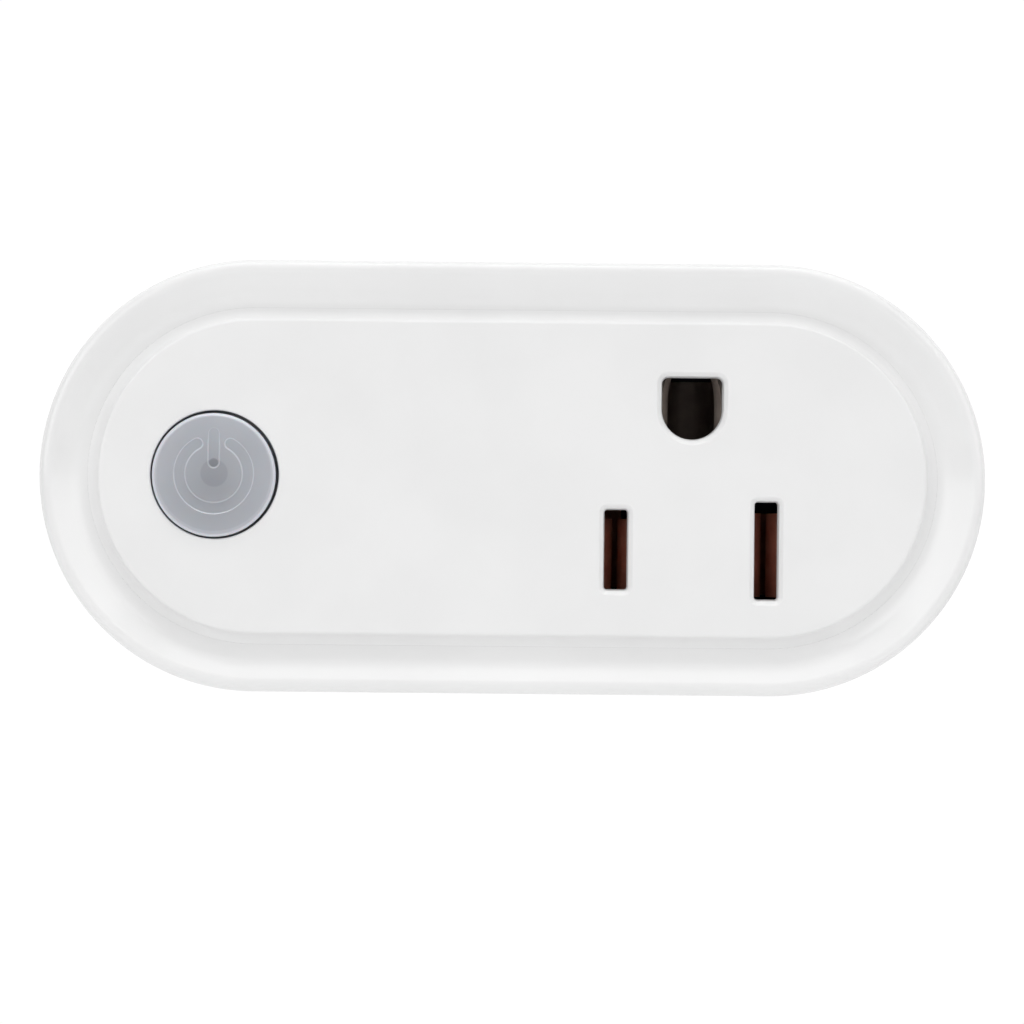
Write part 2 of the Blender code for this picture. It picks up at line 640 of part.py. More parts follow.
def make_rear_housing(finishes):
    start = PARTING_DEPTH + SEAT_GAP
    step = BOSS_END + SEAT_GAP
    inner_front = side_radius(PARTING_DEPTH) - WALL
    skirt_r = inner_front + TONGUE_THICKNESS + SEAT_GAP
    end_r = side_radius(BODY_DEPTH)
    inside_r = side_radius(REAR_INSIDE) - WALL
    rear_edge = arc(
        (end_r - REAR_EDGE_R, BODY_DEPTH - REAR_EDGE_R), REAR_EDGE_R, math.pi / 2, math.pi, 5
    )
    profile = [
        (0, REAR_INSIDE),
        (inside_r - WALL / 2, REAR_INSIDE),
        (inside_r, REAR_INSIDE - WALL / 2),
        (inner_front, step),
        (skirt_r, step),
        (skirt_r, start),
        (side_radius(start), start),
        *rear_edge,
        (0, BODY_DEPTH),
    ]
    shell = oval_solid("rear_housing", profile, finishes["gloss_white"])
    into_wall = REAR_INSIDE + REAR_WALL / 2
    for i, place in enumerate(BOSS_PLACES):
        join(shell, rod(f"screw_tube_{i}", TUBE_R, (step, into_wall), place, sides=16))
    rest = BOARD_BACK + SEAT_GAP
    left_rest = RELAY_X - RELAY_WIDTH / 2 - PART_SPACING
    right_rest = OUTLET_X - BLOCK_WIDTH / 2 + REST_R
    rests = [(x, sz * (INNER_R - REST_R)) for x in (left_rest, right_rest) for sz in (-1, 1)]
    for i, place in enumerate(rests):
        join(shell, rod(f"board_rest_{i}", REST_R, (rest, into_wall), place, sides=12))
    for i, place in enumerate(BOSS_PLACES):
        seat = BODY_DEPTH - SCREW_SEAT
        head_well = (seat, BODY_DEPTH + REAR_WALL)
        shank = (step - REAR_WALL, seat + REAR_WALL)
        cut(
            shell,
            rod(f"head_well_{i}", SCREW_HEAD_R + SEAT_GAP, head_well, place, sides=20),
            rod(f"shank_hole_{i}", SCREW_R + RUN_GAP, shank, place, sides=12),
        )
    through = (REAR_INSIDE - REAR_WALL, BODY_DEPTH + REAR_WALL)
    slot = (BLADE_THICKNESS + 2 * RUN_GAP, BLADE_WIDTH + 2 * RUN_GAP)
    cut(
        shell,
        box("line_blade_slot", slot[0], through, slot[1], (LINE_X, SLOT_Z)),
        box("neutral_blade_slot", slot[0], through, slot[1], (NEUTRAL_X, SLOT_Z)),
        rod("ground_pin_hole", GROUND_PIN_R + RUN_GAP, through, (OUTLET_X, GROUND_Z), sides=24),
        box(
            "label_recess",
            LABEL[0] + 2 * SEAT_GAP,
            (BODY_DEPTH - LABEL_RECESS, BODY_DEPTH + LABEL_RECESS),
            LABEL[2] + 2 * SEAT_GAP,
            (LABEL_INSET - HALF_SPAN, 0),
        ),
    )


def make_rating_label(finishes):
    seat = BODY_DEPTH - LABEL_RECESS + RUN_GAP
    place = (LABEL_INSET - HALF_SPAN, 0)
    box("rating_label", LABEL[0], (seat, seat + LABEL[1]), LABEL[2], place, finishes["label_film"])


def make_screw(name, place, seat, sizes, material, mesh=None):
    """A pan-head screw whose head bears on its seat and whose shank points to the front."""
    radius, head_r, head_height, length = sizes
    recess = head_height / 2
    if mesh:
        screw = bpy.data.objects.new(name, mesh)
        parts.objects.link(screw)
    else:
        profile = [
            (0, -length),
            (radius / 2, -length),
            (radius, -length + radius),
            (radius, 0),
            (head_r, 0),
            (head_r, head_height / 2),
            (head_r - head_height / 3, head_height),
            (0, head_height),
        ]
        blank = turned(name + "_blank", profile, sides=16)
        blank.location.y = 0
        for i, (width, height) in enumerate([(head_r, recess / 2), (recess / 2, head_r)]):
            arm = box(f"{name}_recess_{i}", width, (0, head_height), height)
            arm.location = (0, head_height - recess + head_height / 2, 0)
            cut(blank, arm)
        bpy.context.view_layer.update()
        graph = bpy.context.evaluated_depsgraph_get()
        mesh = bpy.data.meshes.new_from_object(blank.evaluated_get(graph))
        mesh.transform(Matrix.Rotation(math.radians(90), 4, "X"))
        mesh.materials.clear()
        screw = keep(name, mesh, material)
    screw.location = (place[0], y_at(seat), place[1])
    return mesh


def make_screws(finishes):
    seat = BODY_DEPTH - SCREW_SEAT + RUN_GAP
    sizes = (SCREW_R, SCREW_HEAD_R, SCREW_HEAD_HEIGHT, SCREW_LENGTH)
    mesh = None
    for i, place in enumerate(BOSS_PLACES):
        name = f"housing_screw_{i + 1}"
        mesh = make_screw(name, place, seat, sizes, finishes["zinc_steel"], mesh)
    sizes = (SMALL_SCREW_R, SMALL_SCREW_HEAD_R, SMALL_SCREW_HEAD_HEIGHT, SMALL_SCREW_LENGTH)
    mesh = None
    for i, place in enumerate(POST_PLACES):
        name = f"control_board_screw_{i + 1}"
        mesh = make_screw(name, place, BEHIND_CONTROL, sizes, finishes["zinc_steel"], mesh)


# The button and the switch it works

def make_power_button(finishes):
    cap_back = BUTTON_CAP_THICKNESS - BUTTON_PROUD
    edge = arc(
        (BUTTON_R - BUTTON_EDGE_R, BUTTON_EDGE_R - BUTTON_PROUD), BUTTON_EDGE_R, 0, math.pi / 2, 3
    )
    profile = [
        (0, -BUTTON_PROUD),
        *edge,
        (BUTTON_R, BUTTON_FLANGE_FRONT),
        (BUTTON_R + BUTTON_FLANGE, BUTTON_FLANGE_FRONT),
        (BUTTON_R + BUTTON_FLANGE, BUTTON_FLANGE_BACK),
        (BUTTON_R - BUTTON_SKIRT, BUTTON_FLANGE_BACK),
        (BUTTON_R - BUTTON_SKIRT, cap_back),
        (BUTTON_STEM_R, cap_back),
        (BUTTON_STEM_R, STEM_END),
        (0, STEM_END),
    ]
    button = turned("power_button", profile, (BUTTON_X, 0), finishes["grey_silicone"], sides=36)
    half = SYMBOL_STROKE / 2
    ring = bmesh.new()
    groove = (-BUTTON_PROUD - SYMBOL_DEPTH, -BUTTON_PROUD + SYMBOL_DEPTH)
    corners = [
        (SYMBOL_R - half, groove[0]),
        (SYMBOL_R + half, groove[0]),
        (SYMBOL_R + half, groove[1]),
        (SYMBOL_R - half, groove[1]),
    ]
    face = ring.faces.new([ring.verts.new((0, y_at(d), r)) for r, d in corners])
    bmesh.ops.rotate(
        ring, cent=(0, 0, 0), matrix=Matrix.Rotation(SYMBOL_GAP, 3, "Y"), verts=face.verts
    )
    bmesh.ops.spin(
        ring,
        geom=[face, *face.edges, *face.verts],
        cent=(0, 0, 0),
        axis=(0, 1, 0),
        angle=2 * (math.pi - SYMBOL_GAP),
        steps=28,
    )
    bmesh.ops.recalc_face_normals(ring, faces=ring.faces)
    symbol_ring = keep("symbol_ring", mesh_from(ring, "symbol_ring"), None)
    symbol_ring.location.x = BUTTON_X
    low, high = SYMBOL_BAR
    bar_place = (BUTTON_X, (low + high) / 2)
    cut(
        button,
        symbol_ring,
        box("symbol_bar", SYMBOL_STROKE, groove, high - low, bar_place),
    )


def make_switch(finishes):
    place = (BUTTON_X, 0)
    cover_back = SWITCH_FRONT + SWITCH_COVER
    base_front = cover_back + SEAT_GAP
    well_r = PLUNGER_R + PLUNGER_FLANGE + SEAT_GAP
    cover = box(
        "switch_cover",
        SWITCH_SIDE,
        (SWITCH_FRONT, cover_back),
        SWITCH_SIDE,
        place,
        finishes["tinned_steel"],
    )
    cut(cover, rod("plunger_hole", PLUNGER_R + RUN_GAP, (0, 2 * SWITCH_FRONT), place, sides=20))
    base = box(
        "switch_base",
        SWITCH_SIDE,
        (base_front, SWITCH_BACK),
        SWITCH_SIDE,
        place,
        finishes["black_plastic"],
    )
    well = (0, SWITCH_BACK - SWITCH_WELL_FLOOR)
    cut(base, rod("switch_well", well_r, well, place, sides=20))
    flange_front = base_front
    flange_back = flange_front + PLUNGER_FLANGE_THICKNESS
    turned(
        "switch_plunger",
        [
            (0, PLUNGER_FRONT),
            (PLUNGER_R, PLUNGER_FRONT),
            (PLUNGER_R, flange_front),
            (PLUNGER_R + PLUNGER_FLANGE, flange_front),
            (PLUNGER_R + PLUNGER_FLANGE, flange_back),
            (0, flange_back),
        ],
        place,
        finishes["cream_plastic"],
        sides=20,
    )
    dome_back = SWITCH_BACK - SWITCH_WELL_FLOOR - RUN_GAP
    dome_front = dome_back - DOME_RISE
    turned(
        "switch_dome",
        [
            (0, dome_front),
            (DOME_R / 2, dome_front + DOME_RISE / 4),
            (DOME_R, dome_back - DOME_SHEET),
            (DOME_R, dome_back),
            (DOME_R / 2, dome_front + DOME_RISE / 4 + DOME_SHEET),
            (0, dome_front + DOME_SHEET),
        ],
        place,
        finishes["tinned_steel"],
        sides=20,
    )


# The outlet's block and contacts

def slot_list():
    """The two blade slots: name, place and how tall the contact behind is."""
    return [
        ("line", (LINE_X, SLOT_Z), LINE_CONTACT_HEIGHT),
        ("neutral", (NEUTRAL_X, SLOT_Z), NEUTRAL_CONTACT_HEIGHT),
    ]


def tab_place(place):
    """Where a contact's tab passes the boards: above the blade's own tail."""
    return (place[0], place[1] + TAB_WIDTH / 2 + 2 * SEAT_GAP)


def tail_place(place):
    return (place[0], place[1] - TAIL_WIDTH / 2 - 2 * SEAT_GAP)


def ground_tab_place():
    return (OUTLET_X - GROUND_THROAT - CONTACT_SHEET, GROUND_Z)


def make_contact_block(finishes):
    block = box(
        "contact_block",
        BLOCK_WIDTH,
        (FLOOR_BACK + SEAT_GAP, BLOCK_BACK),
        BLOCK_HEIGHT,
        (OUTLET_X, 0),
        finishes["black_plastic"],
    )
    nose = box(
        "block_nose",
        BLOCK_WIDTH - 2 * BLOCK_SHOULDER,
        (POCKET_FLOOR, FLOOR_BACK + 2 * BLOCK_SHOULDER),
        BLOCK_HEIGHT - 2 * BLOCK_SHOULDER,
        (OUTLET_X, 0),
    )
    join(block, nose)
    pocket = (0, BLOCK_POCKET_FLOOR)
    through = (BLOCK_POCKET_FLOOR - BLOCK_FLOOR, BLOCK_BACK + BLOCK_FLOOR)
    relief = (TAIL_END - SEAT_GAP, BLOCK_BACK + BLOCK_FLOOR)
    tab_hole = (TAB_THICKNESS + 2 * SEAT_GAP, TAB_WIDTH + 2 * RUN_GAP)
    for name, place, height in slot_list():
        pocket_height = height + 2 * POCKET_MARGIN
        cut(
            block,
            box(name + "_pocket", POCKET_WIDTH, pocket, pocket_height, place),
            box(name + "_tab_hole", tab_hole[0], through, tab_hole[1], tab_place(place)),
            box(
                name + "_tail_relief",
                TAIL_THICKNESS + 2 * SEAT_GAP,
                relief,
                TAIL_WIDTH + 2 * RUN_GAP,
                tail_place(place),
            ),
        )
    ground_height = GROUND_CONTACT_HEIGHT + 2 * POCKET_MARGIN
    place = (OUTLET_X, GROUND_Z)
    cut(
        block,
        box("ground_pocket", GROUND_POCKET_WIDTH, pocket, ground_height, place),
        box("ground_tab_hole", tab_hole[0], through, tab_hole[1], ground_tab_place()),
        rod("pin_relief", PIN_TAIL_R + SEAT_GAP, relief, place, sides=14),
    )


def spring_path(throat, lip, shoulder):
    """Half of a contact in plan: in from the flared lip to the throat, then out to the shoulder and back."""
    half = CONTACT_SHEET / 2
    lip_depth = PLATE_THICKNESS + CONTACT_LIP_DEPTH
    return [
        (lip + half, lip_depth),
        (throat + half, PLATE_THICKNESS + CONTACT_THROAT_DEPTH),
        (shoulder, PLATE_THICKNESS + CONTACT_SHOULDER_DEPTH),
        (shoulder, CONTACT_BASE),
    ]


def make_contacts(finishes):
    shoulder = POCKET_WIDTH / 2 - SEAT_GAP - CONTACT_SHEET
    half = spring_path(CONTACT_SHEET, SLOT_WIDTH / 2 + CONTACT_SHEET, shoulder)
    path = [(-x, d) for x, d in half] + half[::-1]
    tab_depths = (CONTACT_BASE - CONTACT_SHEET / 4, SOLDER_END)
    for name, place, height in slot_list():
        contact = ribbon(name + "_contact", path, height, place, finishes["bronze"])
        tab = box(name + "_tab", TAB_THICKNESS, tab_depths, TAB_WIDTH, tab_place(place))
        join(contact, tab)
    shoulder = GROUND_POCKET_WIDTH / 2 - SEAT_GAP - CONTACT_SHEET
    half = spring_path(GROUND_THROAT, GROUND_HOLE_R + CONTACT_SHEET, shoulder)
    path = [(-x, d) for x, d in half] + half[::-1]
    place = (OUTLET_X, GROUND_Z)
    contact = ribbon("ground_contact", path, GROUND_CONTACT_HEIGHT, place, finishes["bronze"])
    join(contact, box("ground_tab", TAB_THICKNESS, tab_depths, TAB_WIDTH, ground_tab_place()))


# The blades that plug into the wall

def make_blade(name, place, finishes):
    tip = BODY_DEPTH + BLADE_LENGTH
    root = FLANGE_BACK - FLANGE_THICKNESS / 2
    blade = box(name, BLADE_THICKNESS, (root, tip), BLADE_WIDTH, place, finishes["nickel"])
    bm = bmesh.new()
    bm.from_mesh(blade.data)
    tip_edges = [e for e in bm.edges if all(v.co.y > 0 for v in e.verts)]
    bmesh.ops.bevel(
        bm, geom=tip_edges, offset=BLADE_TIP_BEVEL, segments=1, profile=0.5, affect="EDGES", material=-1
    )
    bm.to_mesh(blade.data)
    bm.free()
    neck = (RETAINER_FRONT - SEAT_GAP, FLANGE_FRONT + FLANGE_THICKNESS / 2)
    join(
        blade,
        box(
            name + "_flange",
            BLADE_THICKNESS + 2 * FLANGE_EXTRA,
            (FLANGE_FRONT, FLANGE_BACK),
            BLADE_WIDTH + 2 * FLANGE_EXTRA,
            place,
        ),
        box(
            name + "_neck",
            BLADE_THICKNESS - NECK_SHRINK / 2,
            neck,
            BLADE_WIDTH - NECK_SHRINK,
            place,
        ),
        box(
            name + "_tail",
            TAIL_THICKNESS,
            (TAIL_END, RETAINER_BACK),
            TAIL_WIDTH,
            tail_place(place),
        ),
    )
    hole = rod(name + "_hole", BLADE_HOLE_R, (-BLADE_WIDTH, BLADE_WIDTH), sides=16)
    hole.rotation_euler = (0, math.radians(90), 0)
    hole.location = (place[0], y_at(tip - BLADE_HOLE_FROM_TIP), place[1])
    cut(blade, hole)


def make_blades(finishes):
    for name, place, _ in slot_list():
        make_blade(name + "_blade", place, finishes)
    tip = BODY_DEPTH + GROUND_PIN_LENGTH
    nose = arc((0, tip - GROUND_PIN_R), GROUND_PIN_R, math.pi / 2, math.pi, 4)
    turned(
        "ground_pin",
        [
            (0, TAIL_END),
            (PIN_TAIL_R, TAIL_END),
            (PIN_TAIL_R, BOARD_BACK + SEAT_GAP),
            (PIN_TAIL_R + NECK_SHRINK, RETAINER_FRONT - SEAT_GAP),
            (PIN_TAIL_R + NECK_SHRINK, FLANGE_FRONT),
            (GROUND_PIN_R + FLANGE_EXTRA / 2, FLANGE_FRONT),
            (GROUND_PIN_R + FLANGE_EXTRA / 2, FLANGE_BACK),
            (GROUND_PIN_R, FLANGE_BACK),
            *nose[:-1],
            (0, tip),
        ],
        (OUTLET_X, GROUND_Z),
        finishes["nickel"],
        sides=24,
    )


def make_blade_retainer(finishes):
    depths = (RETAINER_FRONT, RETAINER_BACK)
    retainer = box(
        "blade_retainer", BLOCK_WIDTH, depths, BLOCK_HEIGHT, (OUTLET_X, 0), finishes["black_plastic"]
    )
    leg = (BOARD_BACK + SEAT_GAP, RETAINER_FRONT + RETAINER_THICKNESS / 2)
    for i, side in enumerate((-1, 1)):
        place = (OUTLET_X + side * (BLOCK_WIDTH / 2 - POST_R), BLOCK_HEIGHT / 2 - POST_R)
        join(retainer, rod(f"retainer_leg_{i}", POST_R - SEAT_GAP, leg, place, sides=12))
    through = (BOARD_BACK, REAR_INSIDE)
    neck = (BLADE_THICKNESS + 2 * RUN_GAP, BLADE_WIDTH + 2 * RUN_GAP)
    for name, place, _ in slot_list():
        cut(retainer, box(name + "_neck_slot", neck[0], through, neck[1], place))
    pin_r = PIN_TAIL_R + NECK_SHRINK + RUN_GAP
    cut(retainer, rod("pin_neck_hole", pin_r, through, (OUTLET_X, GROUND_Z), sides=16))


# Boards

def relay_pin_places():
    """The coil's two pins and the armature's one stand at the corners of the base."""
    across = RELAY_WIDTH / 2 - 3 * RELAY_COVER_WALL
    along = RELAY_LENGTH / 2 - 3 * RELAY_COVER_WALL
    return [(RELAY_X - across, -along), (RELAY_X + across, -along), (RELAY_X + across, along)]


def fixed_contact_place():
    return (RELAY_X, CONTACT_REACH + CONTACT_RIVET_R)


def make_main_board(finishes):
    depths = (BOARD_FRONT, BOARD_BACK)
    through = (BOARD_FRONT - BOARD_THICKNESS, BOARD_BACK + BOARD_THICKNESS)
    board = oval_plate("main_board", INNER_R - BOARD_EDGE_GAP, depths, finishes["board_green"])
    for i, place in enumerate(BOSS_PLACES):
        cut(board, rod(f"board_notch_{i}", TUBE_R + BOARD_EDGE_GAP, through, place, sides=16))
    for name, place, _ in slot_list():
        cut(
            board,
            box(
                name + "_board_tab_slot",
                TAB_THICKNESS + 2 * RUN_GAP,
                through,
                TAB_WIDTH + 2 * RUN_GAP,
                tab_place(place),
            ),
            box(
                name + "_board_tail_slot",
                TAIL_THICKNESS + 2 * RUN_GAP,
                through,
                TAIL_WIDTH + 2 * RUN_GAP,
                tail_place(place),
            ),
        )
    cut(
        board,
        box(
            "ground_board_tab_slot",
            TAB_THICKNESS + 2 * RUN_GAP,
            through,
            TAB_WIDTH + 2 * RUN_GAP,
            ground_tab_place(),
        ),
        rod("pin_board_hole", PIN_TAIL_R + RUN_GAP, through, (OUTLET_X, GROUND_Z), sides=14),
        box(
            "fixed_contact_board_slot",
            TAB_WIDTH + 2 * RUN_GAP,
            through,
            TAB_THICKNESS + 2 * RUN_GAP,
            fixed_contact_place(),
        ),
    )
    for i, place in enumerate(relay_pin_places()):
        cut(board, rod(f"relay_pin_hole_{i}", PIN_R + RUN_GAP, through, place, sides=8))


def make_control_board(finishes):
    depths = (CONTROL_FRONT, CONTROL_BACK)
    through = (CONTROL_FRONT - WALL, CONTROL_BACK + WALL)
    radius = side_radius(PARTING_DEPTH) - WALL - BOARD_EDGE_GAP
    board = oval_plate("control_board", radius, depths, finishes["board_green"])
    edge = CONTROL_BOARD_REACH - HALF_SPAN
    cut(
        board,
        box("board_cut", BODY_LENGTH, through, BODY_HEIGHT, (edge + BODY_LENGTH / 2, 0)),
    )
    for i, place in enumerate(BOSS_PLACES[:2]):
        cut(board, rod(f"control_notch_{i}", BOSS_R + BOARD_EDGE_GAP, through, place, sides=16))
    for i, place in enumerate(POST_PLACES):
        cut(board, rod(f"control_hole_{i}", SMALL_SCREW_R + RUN_GAP, through, place, sides=10))


def header_place():
    """Beside the control board's straight edge, clear of its screw."""
    return (POST_PLACES[1][0], POST_PLACES[1][1] / 2 - HEADER_PITCH)


def make_board_header(finishes):
    x, z = header_place()
    span = HEADER_PINS * HEADER_PITCH
    strip = box(
        "board_header",
        HEADER_STRIP,
        (ON_BOARD - HEADER_STRIP, ON_BOARD),
        span,
        (x, z),
        finishes["black_plastic"],
    )
    top = (BEHIND_CONTROL, BEHIND_CONTROL + HEADER_STRIP / 2)
    join(strip, box("header_top", HEADER_STRIP, top, span, (x, z)))
    pins = (BEHIND_CONTROL + HEADER_STRIP / 4, ON_BOARD - HEADER_STRIP / 2)
    for i in range(HEADER_PINS):
        place = (x, z + (i - (HEADER_PINS - 1) / 2) * HEADER_PITCH)
        join(strip, box(f"header_pin_{i}", 2 * PIN_R, pins, 2 * PIN_R, place))


def make_radio(finishes):
    right_edge = header_place()[0] - HEADER_STRIP / 2 - BOARD_EDGE_GAP
    place = (right_edge - WIFI_BOARD[0] / 2, 0)
    box(
        "wifi_board",
        WIFI_BOARD[0],
        (BEHIND_CONTROL, WIFI_BACK),
        WIFI_BOARD[2],
        place,
        finishes["board_green"],
    )
    aside = (WIFI_BOARD[0] - WIFI_SHIELD[0]) / 2 - SEAT_GAP
    shield = (WIFI_BACK + SEAT_GAP, SHIELD_BACK)
    box(
        "wifi_shield",
        WIFI_SHIELD[0],
        shield,
        WIFI_SHIELD[2],
        (place[0] + aside, 0),
        finishes["tinned_steel"],
        bevel=SMALL_BEVEL,
    )


def make_status_led(finishes):
    width, thickness, height = STATUS_LED
    depths = (CONTROL_FRONT - SEAT_GAP - thickness, CONTROL_FRONT - SEAT_GAP)
    place = (BUTTON_X, -(SWITCH_SIDE / 2 + height))
    box("status_led", width, depths, height, place, finishes["led_lens"], bevel=SMALL_BEVEL)


# The relay

def make_relay(finishes):
    x = RELAY_X
    cover_mouth = ON_BOARD - RELAY_BASE_THICKNESS / 2
    cover = box(
        "relay_cover",
        RELAY_WIDTH,
        (RELAY_FRONT, cover_mouth),
        RELAY_LENGTH,
        (x, 0),
        finishes["blue_plastic"],
    )
    inside = (RELAY_WIDTH - 2 * RELAY_COVER_WALL, RELAY_LENGTH - 2 * RELAY_COVER_WALL)
    hollow = (RELAY_FRONT + RELAY_COVER_WALL, cover_mouth + RELAY_BASE_THICKNESS)
    cut(cover, box("cover_hollow", inside[0], hollow, inside[1], (x, 0)))
    base = box(
        "relay_base",
        inside[0] - 2 * RUN_GAP,
        (RELAY_BASE_FRONT, ON_BOARD),
        inside[1] - 2 * RUN_GAP,
        (x, 0),
        finishes["black_plastic"],
    )
    pin_depths = (RELAY_BASE_FRONT + RELAY_BASE_THICKNESS / 2, SOLDER_END)
    for i, place in enumerate(relay_pin_places()):
        join(base, rod(f"relay_pin_{i}", PIN_R, pin_depths, place, sides=8))
    through = (RELAY_BASE_FRONT - RELAY_BASE_THICKNESS, BOARD_BACK)
    cut(
        base,
        box(
            "fixed_contact_base_slot",
            TAB_WIDTH + 2 * RUN_GAP,
            through,
            TAB_THICKNESS + 2 * RUN_GAP,
            fixed_contact_place(),
        ),
    )
    make_relay_coil(x, finishes)
    make_relay_armature(x, finishes)
    make_relay_fixed_contact(x, finishes)


def make_relay_coil(x, finishes):
    place = (x, -COIL_BACKSET)
    head_back = POLE_FRONT + SEAT_GAP * 2
    flange = COIL_FLANGE_THICKNESS
    bobbin_front = head_back + SEAT_GAP
    turned(
        "relay_pole",
        [
            (0, POLE_FRONT),
            (POLE_HEAD_R, POLE_FRONT),
            (POLE_HEAD_R, head_back),
            (POLE_R, head_back),
            (POLE_R, POLE_BACK),
            (0, POLE_BACK),
        ],
        place,
        finishes["zinc_steel"],
        sides=20,
    )
    bobbin = box(
        "relay_bobbin",
        COIL_FLANGE,
        (bobbin_front, bobbin_front + flange),
        COIL_FLANGE,
        place,
        finishes["cream_plastic"],
    )
    join(
        bobbin,
        rod("bobbin_barrel", BARREL_R, (bobbin_front + flange / 2, POLE_BACK - flange / 2), place),
        box("bobbin_foot", COIL_FLANGE, (POLE_BACK - flange, POLE_BACK), COIL_FLANGE, place),
    )
    cut(bobbin, rod("bobbin_bore", POLE_R + RUN_GAP, (0, BODY_DEPTH), place))
    wound = (bobbin_front + flange + RUN_GAP, POLE_BACK - flange - RUN_GAP)
    turned(
        "relay_winding",
        [
            (BARREL_R + RUN_GAP, wound[0]),
            (COIL_R, wound[0]),
            (COIL_R, wound[1]),
            (BARREL_R + RUN_GAP, wound[1]),
        ],
        place,
        finishes["copper_wire"],
        closed=True,
        sides=24,
    )
    yoke_middle = -(YOKE_BACKSET - YOKE_THICKNESS / 2)
    yoke = box(
        "relay_yoke",
        ARMATURE_WIDTH,
        (YOKE_FRONT, YOKE_BACK),
        YOKE_THICKNESS,
        (x, yoke_middle),
        finishes["zinc_steel"],
    )
    foot_end = -COIL_BACKSET + POLE_HEAD_R
    foot = box(
        "yoke_foot",
        ARMATURE_WIDTH,
        (YOKE_BACK - YOKE_THICKNESS, YOKE_BACK),
        foot_end + YOKE_BACKSET - YOKE_THICKNESS / 2,
        (x, (foot_end - YOKE_BACKSET + YOKE_THICKNESS / 2) / 2),
    )
    join(yoke, foot)


def make_relay_armature(x, finishes):
    """The armature and its contact leaf turn about the yoke's front edge, where their origins are."""
    hinge = (x, y_at(HINGE_DEPTH), HINGE_Z)
    swing = bpy.data.objects.new("armature_hinge", None)
    swing.location = hinge
    parts.objects.link(swing)
    reach = -COIL_BACKSET + POLE_HEAD_R
    length = reach + YOKE_BACKSET
    armature = box(
        "relay_armature",
        ARMATURE_WIDTH,
        (ARMATURE_FRONT, ARMATURE_BACK),
        length,
        (x, (reach - YOKE_BACKSET) / 2),
        finishes["zinc_steel"],
    )
    leaf_end = CONTACT_REACH + CONTACT_RIVET_R / 2
    leaf = box(
        "relay_contact_leaf",
        ARMATURE_WIDTH / 2,
        (LEAF_FRONT, LEAF_FRONT + RELAY_LEAF_SHEET),
        leaf_end + YOKE_BACKSET / 2,
        (x, (leaf_end - YOKE_BACKSET / 2) / 2),
        finishes["bronze"],
    )
    rivet = (LEAF_FRONT + RELAY_LEAF_SHEET / 2, LEAF_FRONT + RELAY_LEAF_SHEET + CONTACT_RIVET_HEIGHT)
    rivet_place = (x, CONTACT_REACH - CONTACT_RIVET_R)
    join(leaf, rod("moving_rivet", CONTACT_RIVET_R, rivet, rivet_place, sides=16))
    for piece in (armature, leaf):
        for vertex in piece.data.vertices:
            vertex.co += piece.location - swing.location
        piece.location = (0, 0, 0)
        piece.parent = swing


def make_relay_fixed_contact(x, finishes):
    rivet_front = LEAF_FRONT + RELAY_LEAF_SHEET + CONTACT_RIVET_HEIGHT + CONTACT_OPENING
    arm_front = rivet_front + CONTACT_RIVET_HEIGHT
    leg_x, leg_z = fixed_contact_place()
    rivet_z = CONTACT_REACH - CONTACT_RIVET_R
    contact = box(
        "relay_fixed_contact",
        TAB_WIDTH,
        (arm_front, SOLDER_END),
        TAB_THICKNESS,
        (leg_x, leg_z),
        finishes["bronze"],
    )
    arm_start = rivet_z - CONTACT_RIVET_R
    arm_end = leg_z + TAB_THICKNESS / 2
    arm = box(
        "fixed_contact_arm",
        TAB_WIDTH + RUN_GAP,
        (arm_front, arm_front + TAB_THICKNESS),
        arm_end - arm_start,
        (x, (arm_start + arm_end) / 2),
    )
    rivet = (rivet_front, arm_front + TAB_THICKNESS / 2)
    join(
        contact,
        arm,
        rod("fixed_rivet", CONTACT_RIVET_R, rivet, (x, rivet_z), sides=16),
    )


# The power supply's parts

def add_leads(part, places, start=ON_BOARD - LEAD_ROOT):
    """Square leads from inside a part through the main board, each in its own hole."""
    board = bpy.data.objects["main_board"]
    through = (BOARD_FRONT - BOARD_THICKNESS, BOARD_BACK + BOARD_THICKNESS)
    for i, place in enumerate(places):
        lead = (start, SOLDER_END)
        hole = LEAD_SIDE + 2 * RUN_GAP
        join(part, box(f"{part.name}_lead_{i}", LEAD_SIDE, lead, LEAD_SIDE, place))
        cut(board, box(f"{part.name}_hole_{i}", hole, through, hole, place))


def beside(place, across, along=0.0):
    """Two places either side of a middle one."""
    x, z = place
    return [(x - across, z - along), (x + across, z + along)]


def can(name, radius, front, place, material):
    """An electrolytic can: a rolled groove near its foot and a rounded top."""
    groove = radius / 12
    body = turned(
        name,
        [
            (0, front),
            (radius - 2 * groove, front),
            (radius, front + 2 * groove),
            (radius, ON_BOARD - 5 * groove),
            (radius - groove, ON_BOARD - 4 * groove),
            (radius, ON_BOARD - 3 * groove),
            (radius, ON_BOARD),
            (0, ON_BOARD),
        ],
        place,
        material,
        sides=24,
    )
    add_leads(body, beside(place, 0, radius / 2))


def transformer_place():
    right_edge = RELAY_X - RELAY_WIDTH / 2 - PART_SPACING
    return (right_edge - TRANSFORMER_CORE[0] / 2, SEAT_GAP - INNER_R / 2)


